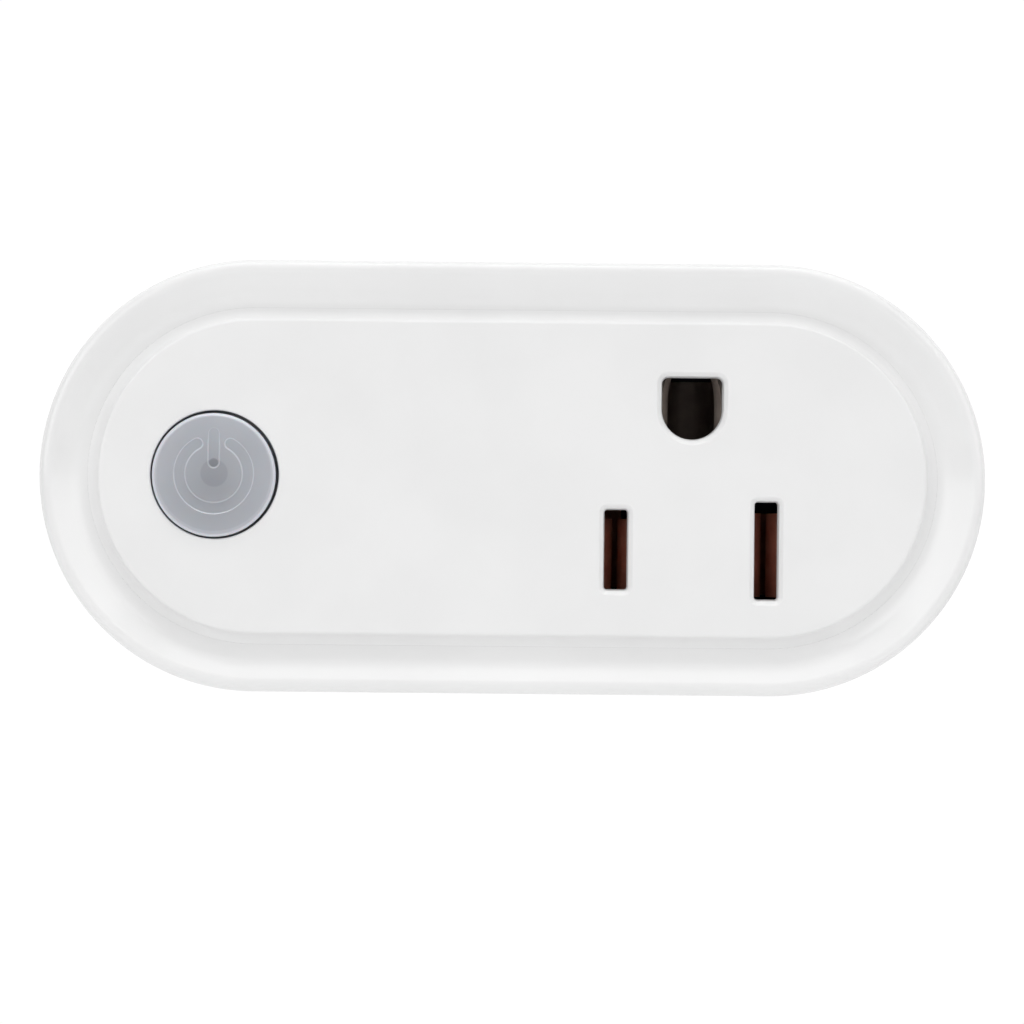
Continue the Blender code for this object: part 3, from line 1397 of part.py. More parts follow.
def make_transformer(finishes):
    """A wound bobbin that stands on the board, with a ferrite frame round it and through it."""
    width, thickness = TRANSFORMER_CORE
    place = transformer_place()
    front, back = UNDER_CONTROL, ON_BOARD
    core = box("transformer_core", width, (front, back), thickness, place, finishes["ferrite"])
    window = (front + CORE_YOKE, back - CORE_YOKE)
    opening = (width - CORE_CENTRE_LEG) / 2 - CORE_LEG
    offset = CORE_CENTRE_LEG / 2 + opening / 2
    for i, side in enumerate((-1, 1)):
        hole = (place[0] + side * offset, place[1])
        cut(core, box(f"core_window_{i}", opening, window, 2 * thickness, hole))
    inner = (CORE_CENTRE_LEG + 2 * RUN_GAP, thickness + 2 * RUN_GAP)
    barrel = (inner[0] + 2 * BOBBIN_WALL, inner[1] + 2 * BOBBIN_WALL)
    wire = opening - BOBBIN_WALL - 4 * RUN_GAP
    flange = (barrel[0] + 2 * wire, barrel[1] + 2 * wire)
    ends = (window[0] + RUN_GAP, window[1] - RUN_GAP)
    bobbin = box(
        "transformer_bobbin", barrel[0], ends, barrel[1], place, finishes["black_plastic"]
    )
    join(
        bobbin,
        box("bobbin_top", flange[0], (ends[0], ends[0] + BOBBIN_FLANGE), flange[1], place),
        box("bobbin_bottom", flange[0], (ends[1] - BOBBIN_FLANGE, ends[1]), flange[1], place),
    )
    cut(bobbin, box("bobbin_core_hole", inner[0], (0, BODY_DEPTH), inner[1], place))
    side, row = flange[0] / 2 - LEAD_SIDE, flange[1] / 2 - LEAD_SIDE
    pins = [*beside(place, side, row), *beside(place, side, -row)]
    add_leads(bobbin, pins, ends[1] - BOBBIN_FLANGE / 2)
    wound = (ends[0] + BOBBIN_FLANGE + RUN_GAP, ends[1] - BOBBIN_FLANGE - RUN_GAP)
    winding = box(
        "transformer_winding",
        flange[0] - RUN_GAP,
        wound,
        flange[1] - RUN_GAP,
        place,
        finishes["yellow_tape"],
    )
    cut(
        winding,
        box("winding_hole", barrel[0] + 2 * RUN_GAP, (0, BODY_DEPTH), barrel[1] + 2 * RUN_GAP, place),
    )


def make_power_parts(finishes):
    bulk_place = (-HALF_SPAN - INNER_R + CAPACITOR_R + 3 * BOARD_EDGE_GAP, 0)
    can("bulk_capacitor", CAPACITOR_R, UNDER_CONTROL, bulk_place, finishes["ferrite"])
    small_place = (-HALF_SPAN, INNER_R - BOARD_EDGE_GAP - SMALL_CAPACITOR_R - WALL)
    can("output_capacitor", SMALL_CAPACITOR_R, UNDER_CONTROL, small_place, finishes["ferrite"])
    width, height, thickness = X_CAPACITOR
    x_place = (RELAY_X, INNER_R - BOARD_EDGE_GAP - thickness / 2)
    x_capacitor = box(
        "x_capacitor",
        width,
        (ON_BOARD - height, ON_BOARD),
        thickness,
        x_place,
        finishes["yellow_tape"],
        bevel=2 * SMALL_BEVEL,
    )
    add_leads(x_capacitor, beside(x_place, width / 2 - LEAD_ROOT))
    disc = rod(
        "surge_varistor",
        VARISTOR_R,
        (-VARISTOR_THICKNESS / 2, VARISTOR_THICKNESS / 2),
        material=finishes["blue_plastic"],
    )
    low_z = -(INNER_R - BOARD_EDGE_GAP - VARISTOR_THICKNESS / 2 - SEAT_GAP)
    disc.rotation_euler = (0, 0, 0)
    varistor_x = RELAY_X - RELAY_WIDTH / 2 + VARISTOR_R
    disc.location = (varistor_x, y_at(ON_BOARD - VARISTOR_R), low_z)
    edge = disc.modifiers.new("edges", "BEVEL")
    edge.width = VARISTOR_THICKNESS / 6
    edge.segments = 1
    edge.limit_method = "ANGLE"
    add_leads(disc, beside((varistor_x, low_z), VARISTOR_R / 2), ON_BOARD - VARISTOR_R / 2)
    fuse = rod(
        "fuse",
        FUSE_R,
        (-FUSE_LENGTH / 2, FUSE_LENGTH / 2),
        material=finishes["cream_plastic"],
        sides=16,
    )
    fuse.rotation_euler = (0, math.radians(90), 0)
    fuse_x = varistor_x + VARISTOR_R + 2 * SEAT_GAP + FUSE_LENGTH / 2
    fuse.location = (fuse_x, y_at(ON_BOARD - FUSE_R), low_z)
    add_leads(fuse, beside((fuse_x, low_z), FUSE_LENGTH / 2 - LEAD_SIDE))
    choke_place = (HALF_SPAN + INNER_R - CHOKE_R - 3 * BOARD_EDGE_GAP, 0)
    front = ON_BOARD - CHOKE_HEIGHT
    choke = turned(
        "choke_core",
        [
            (0, front),
            (CHOKE_R, front),
            (CHOKE_R, front + CHOKE_FLANGE),
            (CHOKE_WAIST_R, front + CHOKE_FLANGE),
            (CHOKE_WAIST_R, ON_BOARD - CHOKE_FLANGE),
            (CHOKE_R, ON_BOARD - CHOKE_FLANGE),
            (CHOKE_R, ON_BOARD),
            (0, ON_BOARD),
        ],
        choke_place,
        finishes["ferrite"],
        sides=20,
    )
    add_leads(choke, beside(choke_place, 0, CHOKE_R / 2), ON_BOARD - CHOKE_FLANGE / 2)
    wound = (front + CHOKE_FLANGE + RUN_GAP, ON_BOARD - CHOKE_FLANGE - RUN_GAP)
    turned(
        "choke_winding",
        [
            (CHOKE_WAIST_R + RUN_GAP, wound[0]),
            (CHOKE_R - RUN_GAP, wound[0]),
            (CHOKE_R - RUN_GAP, wound[1]),
            (CHOKE_WAIST_R + RUN_GAP, wound[1]),
        ],
        choke_place,
        finishes["copper_wire"],
        closed=True,
        sides=20,
    )


def chip(name, body, place, leads, finishes):
    """A surface-mounted package on the back of the main board, with a row of leads on each long side."""
    width, thickness, height = body
    stand = BOARD_BACK + SEAT_GAP
    body_depths = (stand, stand + thickness)
    material = finishes["black_plastic"]
    package = box(name, width, body_depths, height, place, material, bevel=SMALL_BEVEL)
    pitch = width / leads
    lead_depths = (stand + CHIP_LEAD, stand + 2 * CHIP_LEAD)
    span = height + 4 * CHIP_LEAD
    for i in range(leads):
        lead_place = (place[0] + (i - (leads - 1) / 2) * pitch, place[1])
        join(package, box(f"{name}_lead_{i}", CHIP_LEAD, lead_depths, span, lead_place))


def make_chips(finishes):
    chip("bridge_rectifier", BRIDGE, (-HALF_SPAN, INNER_R / 3), 2, finishes)
    chip("supply_controller", CONTROLLER, transformer_place(), 4, finishes)


def main():
    for obj in list(bpy.data.objects):
        bpy.data.objects.remove(obj)
    bpy.context.scene.collection.children.link(parts)
    bpy.context.scene.collection.children.link(cutters)
    finishes = make_finishes()
    make_front_plate(finishes)
    make_front_housing(finishes)
    make_rear_housing(finishes)
    make_rating_label(finishes)
    make_screws(finishes)
    make_power_button(finishes)
    make_switch(finishes)
    make_contact_block(finishes)
    make_contacts(finishes)
    make_blades(finishes)
    make_blade_retainer(finishes)
    make_main_board(finishes)
    make_control_board(finishes)
    make_board_header(finishes)
    make_radio(finishes)
    make_status_led(finishes)
    make_relay(finishes)
    make_transformer(finishes)
    make_power_parts(finishes)
    make_chips(finishes)


main()
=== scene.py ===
import json
import math

import bmesh
import bpy
from mathutils import Matrix, Vector


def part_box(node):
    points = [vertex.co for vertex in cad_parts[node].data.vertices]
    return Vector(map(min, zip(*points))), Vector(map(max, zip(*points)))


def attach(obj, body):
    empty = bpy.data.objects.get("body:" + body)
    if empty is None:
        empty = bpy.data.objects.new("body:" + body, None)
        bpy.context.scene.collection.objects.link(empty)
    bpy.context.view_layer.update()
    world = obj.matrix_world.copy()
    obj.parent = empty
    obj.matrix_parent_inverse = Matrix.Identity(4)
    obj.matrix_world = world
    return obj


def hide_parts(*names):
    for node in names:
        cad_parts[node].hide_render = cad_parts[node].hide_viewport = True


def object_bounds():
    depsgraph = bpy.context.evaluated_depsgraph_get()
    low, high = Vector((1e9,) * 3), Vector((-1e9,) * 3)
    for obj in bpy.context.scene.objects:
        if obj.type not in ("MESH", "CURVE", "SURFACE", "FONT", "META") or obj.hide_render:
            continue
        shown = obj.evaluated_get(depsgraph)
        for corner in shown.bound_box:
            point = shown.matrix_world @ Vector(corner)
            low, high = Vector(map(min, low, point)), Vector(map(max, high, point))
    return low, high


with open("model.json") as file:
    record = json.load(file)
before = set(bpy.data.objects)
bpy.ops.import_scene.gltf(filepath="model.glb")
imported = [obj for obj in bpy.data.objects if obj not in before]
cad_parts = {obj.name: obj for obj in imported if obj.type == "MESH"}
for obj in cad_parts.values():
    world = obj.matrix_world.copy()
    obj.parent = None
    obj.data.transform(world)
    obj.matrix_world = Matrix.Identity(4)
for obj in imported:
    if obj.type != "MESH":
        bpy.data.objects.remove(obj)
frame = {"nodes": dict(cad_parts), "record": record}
cadLow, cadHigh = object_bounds()
mm = 0.001
# points closer than this are one point, and how far a cut runs beyond what it cuts
weld = 0.001 * mm
overrun = 1 * mm
print("frame loaded")

plateLow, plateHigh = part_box("front_plate")
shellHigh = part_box("front_housing")[1]
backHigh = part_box("rear_housing")[1]
buttonLow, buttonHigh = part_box("power_button")
lineLow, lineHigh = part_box("line_contact")
neutralLow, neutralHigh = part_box("neutral_contact")
pinLow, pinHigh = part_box("ground_pin")
faceY = plateLow.y
wallY = backHigh.y
rimR = shellHigh.z
halfSpan = shellHigh.x - rimR
buttonX = (buttonLow.x + buttonHigh.x) / 2
outletX = (pinLow.x + pinHigh.x) / 2
groundZ = (pinLow.z + pinHigh.z) / 2


def linearColour(hexText):
    channels = [int(hexText[i:i + 2], 16) / 255 for i in (1, 3, 5)]
    return [c / 12.92 if c <= 0.04045 else ((c + 0.055) / 1.055) ** 2.4 for c in channels] + [1.0]


def addNode(tree, kind, inputs=None, **fields):
    node = tree.nodes.new(kind)
    for name, value in fields.items():
        setattr(node, name, value)
    for socket, value in (inputs or {}).items():
        if isinstance(value, bpy.types.NodeSocket):
            tree.links.new(value, node.inputs[socket])
        else:
            node.inputs[socket].default_value = value
    return node


def makeSurface(name, look, centre=(0, 0, 0)):
    material = bpy.data.materials.new(name)
    material.use_nodes = True
    tree = material.node_tree
    shader = tree.nodes["Principled BSDF"]
    for socket, value in look.get("shader", {}).items():
        shader.inputs[socket].default_value = value
    coords = addNode(tree, "ShaderNodeTexCoord")
    place = addNode(tree, "ShaderNodeMapping", {
        "Vector": coords.outputs["Object"],
        "Location": [-c for c in centre],
        "Scale": look.get("stretch", (1, 1, 1)),
    })
    grain = addNode(tree, "ShaderNodeTexNoise", {
        "Vector": place.outputs["Vector"],
        "Scale": 1 / (look["grain"] * mm),
        "Detail": 3.0,
    })
    cloud = addNode(tree, "ShaderNodeTexNoise", {
        "Vector": place.outputs["Vector"],
        "Scale": 1 / (look["cloud"] * mm),
        "Detail": 2.0,
    })
    tint = addNode(tree, "ShaderNodeValToRGB", {"Fac": cloud.outputs["Fac"]})
    tint.color_ramp.elements[0].position = 0.35
    tint.color_ramp.elements[1].position = 0.65
    tint.color_ramp.elements[0].color = linearColour(look["dark"])
    tint.color_ramp.elements[1].color = linearColour(look["light"])
    tree.links.new(tint.outputs["Color"], shader.inputs["Base Color"])
    low, high = look["roughness"]
    rough = addNode(tree, "ShaderNodeMapRange", {
        "Value": grain.outputs["Fac"],
        "From Min": 0.3,
        "From Max": 0.7,
        "To Min": low,
        "To Max": high,
    })
    tree.links.new(rough.outputs["Result"], shader.inputs["Roughness"])
    bump = addNode(tree, "ShaderNodeBump", {
        "Height": grain.outputs["Fac"],
        "Strength": look.get("strength", 0.5),
        "Distance": look["relief"] * mm,
    })
    tree.links.new(bump.outputs["Normal"], shader.inputs["Normal"])
    return material


def linkMesh(name, bm, material):
    bmesh.ops.recalc_face_normals(bm, faces=bm.faces)
    if bm.calc_volume(signed=True) < 0:
        bmesh.ops.reverse_faces(bm, faces=bm.faces)
    mesh = bpy.data.meshes.new(name)
    bm.to_mesh(mesh)
    bm.free()
    obj = bpy.data.objects.new(name, mesh)
    bpy.context.scene.collection.objects.link(obj)
    if material:
        mesh.materials.append(material)
    return obj


def settleMesh(obj, cutters=(), joined=(), angle=30):
    for other, operation in [(o, "UNION") for o in joined] + [(o, "DIFFERENCE") for o in cutters]:
        step = obj.modifiers.new(other.name, "BOOLEAN")
        step.operation = operation
        step.object = other
        step.solver = "EXACT"
    bpy.context.view_layer.update()
    graph = bpy.context.evaluated_depsgraph_get()
    mesh = bpy.data.meshes.new_from_object(obj.evaluated_get(graph))
    obj.modifiers.clear()
    obj.data = mesh
    for other in [*joined, *cutters]:
        bpy.data.objects.remove(other)
    mesh.shade_smooth()
    mesh.set_sharp_from_angle(angle=math.radians(angle))
    weigh = obj.modifiers.new("face weights", "WEIGHTED_NORMAL")
    weigh.keep_sharp = True
    weigh.weight = 100
    graph = bpy.context.evaluated_depsgraph_get()
    weighed = bpy.data.meshes.new_from_object(obj.evaluated_get(graph))
    obj.modifiers.clear()
    obj.data = weighed


def arcPoints(centre, radius, start, end, steps):
    across, depth = centre
    turns = [start + (end - start) * i / steps for i in range(steps + 1)]
    return [(across + radius * math.sin(a), depth - radius * math.cos(a)) for a in turns]


def ovalBody(name, profile, material, steps=64):
    # profile points are (distance out from the long middle line, distance behind the face)
    bm = bmesh.new()
    line = [bm.verts.new((halfSpan, faceY + d, -r)) for r, d in profile]
    edges = [bm.edges.new(pair) for pair in zip(line, line[1:])]
    for side in (1, -1):
        turned = bmesh.ops.spin(
            bm, geom=edges, cent=(side * halfSpan, 0, 0), axis=(0, 1, 0), angle=-math.pi, steps=steps
        )
        edges = [e for e in turned["geom_last"] if isinstance(e, bmesh.types.BMEdge)]
        run = bmesh.ops.extrude_edge_only(bm, edges=edges)["geom"]
        moved = [v for v in run if isinstance(v, bmesh.types.BMVert)]
        bmesh.ops.translate(bm, vec=(-side * 2 * halfSpan, 0, 0), verts=moved)
        edges = [e for e in run if isinstance(e, bmesh.types.BMEdge)]
    bmesh.ops.remove_doubles(bm, verts=bm.verts, dist=weld)
    bmesh.ops.dissolve_limit(bm, angle_limit=math.radians(0.02), verts=bm.verts, edges=bm.edges)
    return linkMesh(name, bm, material)


def turnedBody(name, profile, place, material, steps):
    # profile points are (radius, distance behind the face)
    bm = bmesh.new()
    line = [bm.verts.new((place[0] + r, faceY + d, place[1])) for r, d in profile]
    edges = [bm.edges.new(pair) for pair in zip(line, line[1:])]
    bmesh.ops.spin(
        bm,
        geom=edges,
        cent=(place[0], 0, place[1]),
        axis=(0, 1, 0),
        angle=2 * math.pi,
        steps=steps,
        use_merge=True,
    )
    bmesh.ops.remove_doubles(bm, verts=bm.verts, dist=weld)
    return linkMesh(name, bm, material)


def stackedLoops(name, outline, levels):
    # each level is (how far the outline grows, y): a face that is extruded from level to level
    bm = bmesh.new()
    grow, y = levels[0]
    ring = [bm.verts.new((x, y, z)) for x, z in outline(grow)]
    face = bm.faces.new(ring)
    for i, (grow, y) in enumerate(levels[1:]):
        order = {v.co.copy().freeze(): k for k, v in enumerate(ring)}
        made = bmesh.ops.extrude_face_region(bm, geom=[face])["geom"]
        moved = [v for v in made if isinstance(v, bmesh.types.BMVert)]
        ring = sorted(moved, key=lambda v: order[v.co.copy().freeze()])
        for v, (x, z) in zip(ring, outline(grow)):
            v.co = (x, y, z)
        if i:
            bm.faces.remove(face)
        face = next(f for f in made if isinstance(f, bmesh.types.BMFace))
    return linkMesh(name, bm, None)


def cornerArc(x, z, radius, start, steps=6):
    turns = [start + math.pi / 2 * i / steps for i in range(steps + 1)]
    return [(x + radius * math.cos(a), z + radius * math.sin(a)) for a in turns]


def slotOutline(x, z, width, height, corner):
    def outline(grow):
        w, h = width / 2 - corner, height / 2 - corner
        r = corner + grow
        quarter = math.pi / 2
        points = []
        for i, (sx, sz) in enumerate([(1, 1), (-1, 1), (-1, -1), (1, -1)]):
            points += cornerArc(x + sx * w, z + sz * h, r, i * quarter)
        return points
    return outline


def domedSlotOutline(x, z, radius, top, corner, steps=40):
    def outline(grow):
        r = radius + grow
        below = [math.pi + math.pi * i / steps for i in range(steps + 1)]
        points = [(x + r * math.cos(a), z + r * math.sin(a)) for a in below]
        points += cornerArc(x + radius - corner, z + top - corner, corner + grow, 0)
        points += cornerArc(x - radius + corner, z + top - corner, corner + grow, math.pi / 2)
        return points
    return outline


def roundOutline(place, radius, steps=48):
    def outline(grow):
        turns = [2 * math.pi * i / steps for i in range(steps)]
        r = radius + grow
        return [(place[0] + r * math.cos(a), place[1] + r * math.sin(a)) for a in turns]
    return outline


def mouthLevels(edge, front, back, draft=0, segments=4):
    # the way through a wall: a slope with eased ends at the front, then sides that draw in to the back
    turn = math.radians(42)
    ease = edge * 0.4
    soft = 0.12
    turns = [turn * i / segments for i in range(segments + 1)]
    outer = [(ease * (1 - math.sin(a)), ease * (1 - math.cos(a))) for a in turns]
    lastDepth = outer[-1][1]
    width = edge - ease * math.sin(turn)
    fall = width * math.tan(turn)
    levels = [(draft + edge, front - overrun)]
    levels += [(draft + edge - ease + grow, front + depth) for grow, depth in outer]
    levels.append((draft + soft * width, front + lastDepth + (1 - soft) * fall))
    levels.append((draft, front + lastDepth + (1 + soft) * fall))
    return levels + [(0, back), (0, back + overrun)]


def plainBox(name, low, high):
    bm = bmesh.new()
    bmesh.ops.create_cube(bm, size=1)
    bmesh.ops.scale(bm, vec=[b - a for a, b in zip(low, high)], verts=bm.verts)
    bmesh.ops.translate(bm, vec=[(a + b) / 2 for a, b in zip(low, high)], verts=bm.verts)
    return linkMesh(name, bm, None)


def rodAlong(name, radius, front, back, place, steps=32):
    bm = bmesh.new()
    turn = Matrix.Translation((place[0], faceY + (front + back) / 2, place[1]))
    turn = turn @ Matrix.Rotation(math.pi / 2, 4, "X")
    bmesh.ops.create_cone(
        bm, cap_ends=True, segments=steps, radius1=radius, radius2=radius, depth=back - front, matrix=turn
    )
    return linkMesh(name, bm, None)


# the materials, one per slot of the record

looks = {
    # injection-moulded ABS with a spark-eroded texture: a soft even white with no clear reflection
    "satin_white": ("texturedABS", {
        "dark": "#eaeaea", "light": "#ededed", "grain": 0.12, "cloud": 9, "relief": 0.005,
        "roughness": (0.36, 0.42), "strength": 0.3, "shader": {"IOR": 1.52},
    }),
    # injection-moulded ABS from a polished tool: white with clear soft reflections
    "gloss_white": ("polishedABS", {
        "dark": "#ebebeb", "light": "#eeeeee", "grain": 1.8, "cloud": 14, "relief": 0.003,
        "roughness": (0.12, 0.17), "strength": 0.2, "shader": {"IOR": 1.52},
    }),
    # translucent silicone: grey with a little depth and a soft sheen
    "grey_silicone": ("translucentSilicone", {
        "dark": "#b9bcc3", "light": "#bdc0c7", "grain": 0.5, "cloud": 4, "relief": 0.001,
        "roughness": (0.15, 0.19), "strength": 0.2,
        "shader": {"IOR": 1.45, "Subsurface Weight": 0.2, "Subsurface Scale": 0.001},
    }),
    # black PBT: deep, slightly matt, swallows the light in the outlet
    "black_plastic": ("blackPBT", {
        "dark": "#0c0b0b", "light": "#121111", "grain": 0.2, "cloud": 3, "relief": 0.006,
        "roughness": (0.42, 0.55), "shader": {"IOR": 1.5},
    }),
    # phosphor bronze strip: warm red-brown with a soft broad sheen
    "bronze": ("phosphorBronze", {
        "dark": "#d09580", "light": "#dba48e", "grain": 0.15, "cloud": 2, "relief": 0.004,
        "roughness": (0.5, 0.62), "stretch": (1, 0.15, 1), "shader": {"Metallic": 0.75},
    }),
    # nickel-plated brass: warm silver with faint drawn lines
    "nickel": ("nickelPlatedBrass", {
        "dark": "#cfccc4", "light": "#dad7cf", "grain": 0.12, "cloud": 5, "relief": 0.003,
        "roughness": (0.2, 0.32), "stretch": (1, 0.12, 1), "shader": {"Metallic": 1.0},
    }),
    # zinc-plated steel: cool grey with cloudy patches
    "zinc_steel": ("zincPlatedSteel", {
        "dark": "#b4b8bc", "light": "#c6cacd", "grain": 0.2, "cloud": 1.5, "relief": 0.004,
        "roughness": (0.28, 0.45), "shader": {"Metallic": 1.0},
    }),
    # tin-plated steel: pale and slightly dull
    "tinned_steel": ("tinPlatedSteel", {
        "dark": "#c4c4c2", "light": "#d2d2d0", "grain": 0.3, "cloud": 3, "relief": 0.004,
        "roughness": (0.25, 0.4), "shader": {"Metallic": 1.0},
    }),
    # solder mask over glass cloth: glossy green with a fine weave
    "board_green": ("solderMask", {
        "dark": "#135a34", "light": "#196b3e", "grain": 0.35, "cloud": 2.5, "relief": 0.006,
        "roughness": (0.25, 0.4), "shader": {"IOR": 1.5},
    }),
    # enamelled copper wire: fine turns side by side
    "copper_wire": ("enamelledCopper", {
        "dark": "#a04a20", "light": "#c56a33", "grain": 0.25, "cloud": 1.2, "relief": 0.03,
        "roughness": (0.2, 0.35), "stretch": (0.1, 1, 0.1), "shader": {"Metallic": 0.8},
    }),
    # polyester tape and film: thin yellow gloss with soft wrinkles
    "yellow_tape": ("polyesterTape", {
        "dark": "#d2a51c", "light": "#e2b62c", "grain": 0.8, "cloud": 3, "relief": 0.02,
        "roughness": (0.25, 0.4), "shader": {"IOR": 1.57},
    }),
    # sintered ferrite: charcoal and dusty
    "ferrite": ("sinteredFerrite", {
        "dark": "#2c2d2f", "light": "#3a3b3d", "grain": 0.1, "cloud": 1.5, "relief": 0.008,
        "roughness": (0.55, 0.75), "shader": {"IOR": 1.6},
    }),
    # blue PBT, moulded: saturated, with a soft gloss
    "blue_plastic": ("bluePBT", {
        "dark": "#1c4f96", "light": "#2359a4", "grain": 0.6, "cloud": 4, "relief": 0.006,
        "roughness": (0.28, 0.4), "shader": {"IOR": 1.5},
    }),
    # natural nylon: creamy and faintly waxy
    "cream_plastic": ("naturalNylon", {
        "dark": "#d6cfba", "light": "#e0dac8", "grain": 0.4, "cloud": 3, "relief": 0.005,
        "roughness": (0.4, 0.5), "shader": {"IOR": 1.53},
    }),
    # matt polyester label: plain light grey
    "label_film": ("polyesterLabel", {
        "dark": "#c9cacb", "light": "#cfd0d1", "grain": 0.25, "cloud": 6, "relief": 0.003,
        "roughness": (0.45, 0.6), "shader": {"IOR": 1.55},
    }),
    # phosphor under clear silicone: a pale yellow dot
    "led_lens": ("phosphorLens", {
        "dark": "#e6e0a8", "light": "#efeabb", "grain": 0.2, "cloud": 1, "relief": 0.004,
        "roughness": (0.2, 0.3), "shader": {"IOR": 1.45},
    }),
}
bodyCentre = ((cadLow + cadHigh) / 2)[:]
surfaces = {slot: makeSurface(name, look, bodyCentre) for slot, (name, look) in looks.items()}
slotOf = {entry["node"]: entry["material_slot"] for entry in frame["record"]["subparts"]}
bodyOf = {node: body for body, nodes in frame["record"]["behaviour"]["bodies"].items() for node in nodes}


def placePiece(piece, *nodes):
    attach(piece, bodyOf[nodes[0]])
    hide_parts(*nodes)


print("materials made")

# the face plate: flat and satin, with a rolled edge that slopes down to the rim

plate = {
    "faceMargin": 5.2 * mm,
    "footMargin": 4.0 * mm,
    "edge": 0.3 * mm,
    "turn": math.radians(84),
    "step": 1.27 * mm,
    "thickness": 2.0 * mm,
    "holeR": 5.42 * mm,
    "holeRise": 0.07 * mm,
    "holeEdge": 0.12 * mm,
    "slotWidth": 1.9 * mm,
    "slotCorner": 0.22 * mm,
    "lineHeight": 6.7 * mm,
    "neutralHeight": 8.2 * mm,
    "domeR": 2.53 * mm,
    "domeTop": 2.66 * mm,
    "domeCorner": 0.5 * mm,
    "slotEdge": 0.45 * mm,
    "slotDraft": 0.1 * mm,
    "pegR": 1.0 * mm,
    "pegRoot": 1.0 * mm,
}
faceR = rimR - plate["faceMargin"]
footR = rimR - plate["footMargin"]
lineX = (lineLow.x + lineHigh.x) / 2
neutralX = (neutralLow.x + neutralHigh.x) / 2
slotZ = (lineLow.z + lineHigh.z) / 2
edgeArc = arcPoints((faceR, plate["edge"]), plate["edge"], 0, plate["turn"], 10)
run, drop = footR - edgeArc[-1][0], plate["step"] - edgeArc[-1][1]
footTurn = 2 * math.atan2(drop, run) - plate["turn"]
flankR = math.hypot(run, drop) / 2 / math.sin((plate["turn"] - footTurn) / 2)
flankCentre = (footR + flankR * math.sin(footTurn), plate["step"] - flankR * math.cos(footTurn))
profile = [
    (0, 0),
    *edgeArc,
    *arcPoints(flankCentre, flankR, math.pi + plate["turn"], math.pi + footTurn, 10)[1:],
    (footR, plate["thickness"]),
    (0, plate["thickness"]),
]
facePlate = ovalBody("facePlate", profile, surfaces["satin_white"])
plateBack = faceY + plate["thickness"]
levels = mouthLevels(plate["slotEdge"], faceY, plateBack, plate["slotDraft"])
corner = plate["slotCorner"]
lineSlot = slotOutline(lineX, slotZ, plate["slotWidth"], plate["lineHeight"], corner)
neutralSlot = slotOutline(neutralX, slotZ, plate["slotWidth"], plate["neutralHeight"], corner)
dome = domedSlotOutline(outletX, groundZ, plate["domeR"], plate["domeTop"], plate["domeCorner"])
buttonWay = roundOutline((buttonX, plate["holeRise"]), plate["holeR"], 128)
pegEnd = plateHigh.y - faceY
relayLow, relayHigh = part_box("relay_cover")
pegRise = footR - 3 * plate["pegR"]
pegPlaces = [(x, side * pegRise) for x in (relayLow.x, relayHigh.x) for side in (-1, 1)]
pegs = [rodAlong(f"peg{i}", plate["pegR"], plate["pegRoot"], pegEnd, p) for i, p in enumerate(pegPlaces)]
settleMesh(
    facePlate,
    [
        stackedLoops("lineSlotCut", lineSlot, levels),
        stackedLoops("neutralSlotCut", neutralSlot, levels),
        stackedLoops("groundCut", dome, levels),
        stackedLoops("buttonCut", buttonWay, mouthLevels(plate["holeEdge"], faceY, plateBack)),
    ],
    pegs,
)
placePiece(facePlate, "front_plate")
print("face plate made")

# the front housing: the glossy dished rim round the plate, and the wall behind it

housing = {
    "gap": 0.3 * mm,
    "line": 0.004 * mm,
    "floor": 1.7 * mm,
    "wall": 2.0 * mm,
    "lipOuter": 0.7 * mm,
    "lipInner": 1.0 * mm,
    "slope": math.radians(28),
    "dishR": 3.0 * mm,
    "draft": math.radians(0.8),
    "parting": 13.0 * mm,
    "tongue": 1.0 * mm,
    "seamEdge": 0.15 * mm,
    "bossR": 3.2 * mm,
    "postR": 1.9 * mm,
    "pilotR": 1.5 * mm,
    "postPilotR": 1.1 * mm,
    "collarR": 7.15 * mm,
    "collarRise": 1.2 * mm,
    "guideR": 6.15 * mm,
    "blockLap": 0.7 * mm,
    "pegGap": 0.2 * mm,
}


def sideR(depth):
    return rimR - max(depth, 0) * math.tan(housing["draft"])


slope = housing["slope"]
crest = rimR - housing["lipOuter"]
dishR = housing["dishR"]
incline = crest - footR - (dishR + housing["lipInner"]) * math.sin(slope)
crestDepth = plate["step"] - (dishR + housing["lipInner"]) * (1 - math.cos(slope)) - incline * math.tan(slope)
begin = math.asin(housing["line"] / dishR)
pocket = plate["thickness"] + housing["gap"]
floorBack = pocket + housing["floor"]
parting = housing["parting"]
seam = housing["seamEdge"]
partingR = sideR(parting)
innerR = partingR - housing["wall"]
tongueR = innerR + housing["tongue"]
dishArc = arcPoints((footR, plate["step"] - dishR), dishR, math.pi - begin, math.pi - slope, 20)
profile = [
    (0, pocket),
    (footR + housing["line"], pocket),
    *dishArc,
    *arcPoints((crest, crestDepth + housing["lipInner"]), housing["lipInner"], -slope, 0, 8),
    *arcPoints((crest, crestDepth + housing["lipOuter"]), housing["lipOuter"], 0, math.pi / 2, 10)[1:],
    (partingR, parting - seam),
    (partingR - seam, parting),
    (tongueR, parting),
    (tongueR, parting + housing["tongue"]),
    (innerR, parting + housing["tongue"]),
    (innerR, floorBack + housing["wall"]),
    (innerR - housing["wall"], floorBack),
    (0, floorBack),
]
rimShell = ovalBody("rimShell", profile, surfaces["gloss_white"], 80)
screwPlaces = []
for i in range(1, 5):
    low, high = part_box(f"housing_screw_{i}")
    screwPlaces.append(((low.x + high.x) / 2, (low.z + high.z) / 2))
screwTip = low.y - faceY
postPlaces = []
for i in (1, 2):
    low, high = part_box(f"control_board_screw_{i}")
    postPlaces.append(((low.x + high.x) / 2, (low.z + high.z) / 2))
postTip = low.y - faceY
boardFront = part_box("control_board")[0].y - faceY
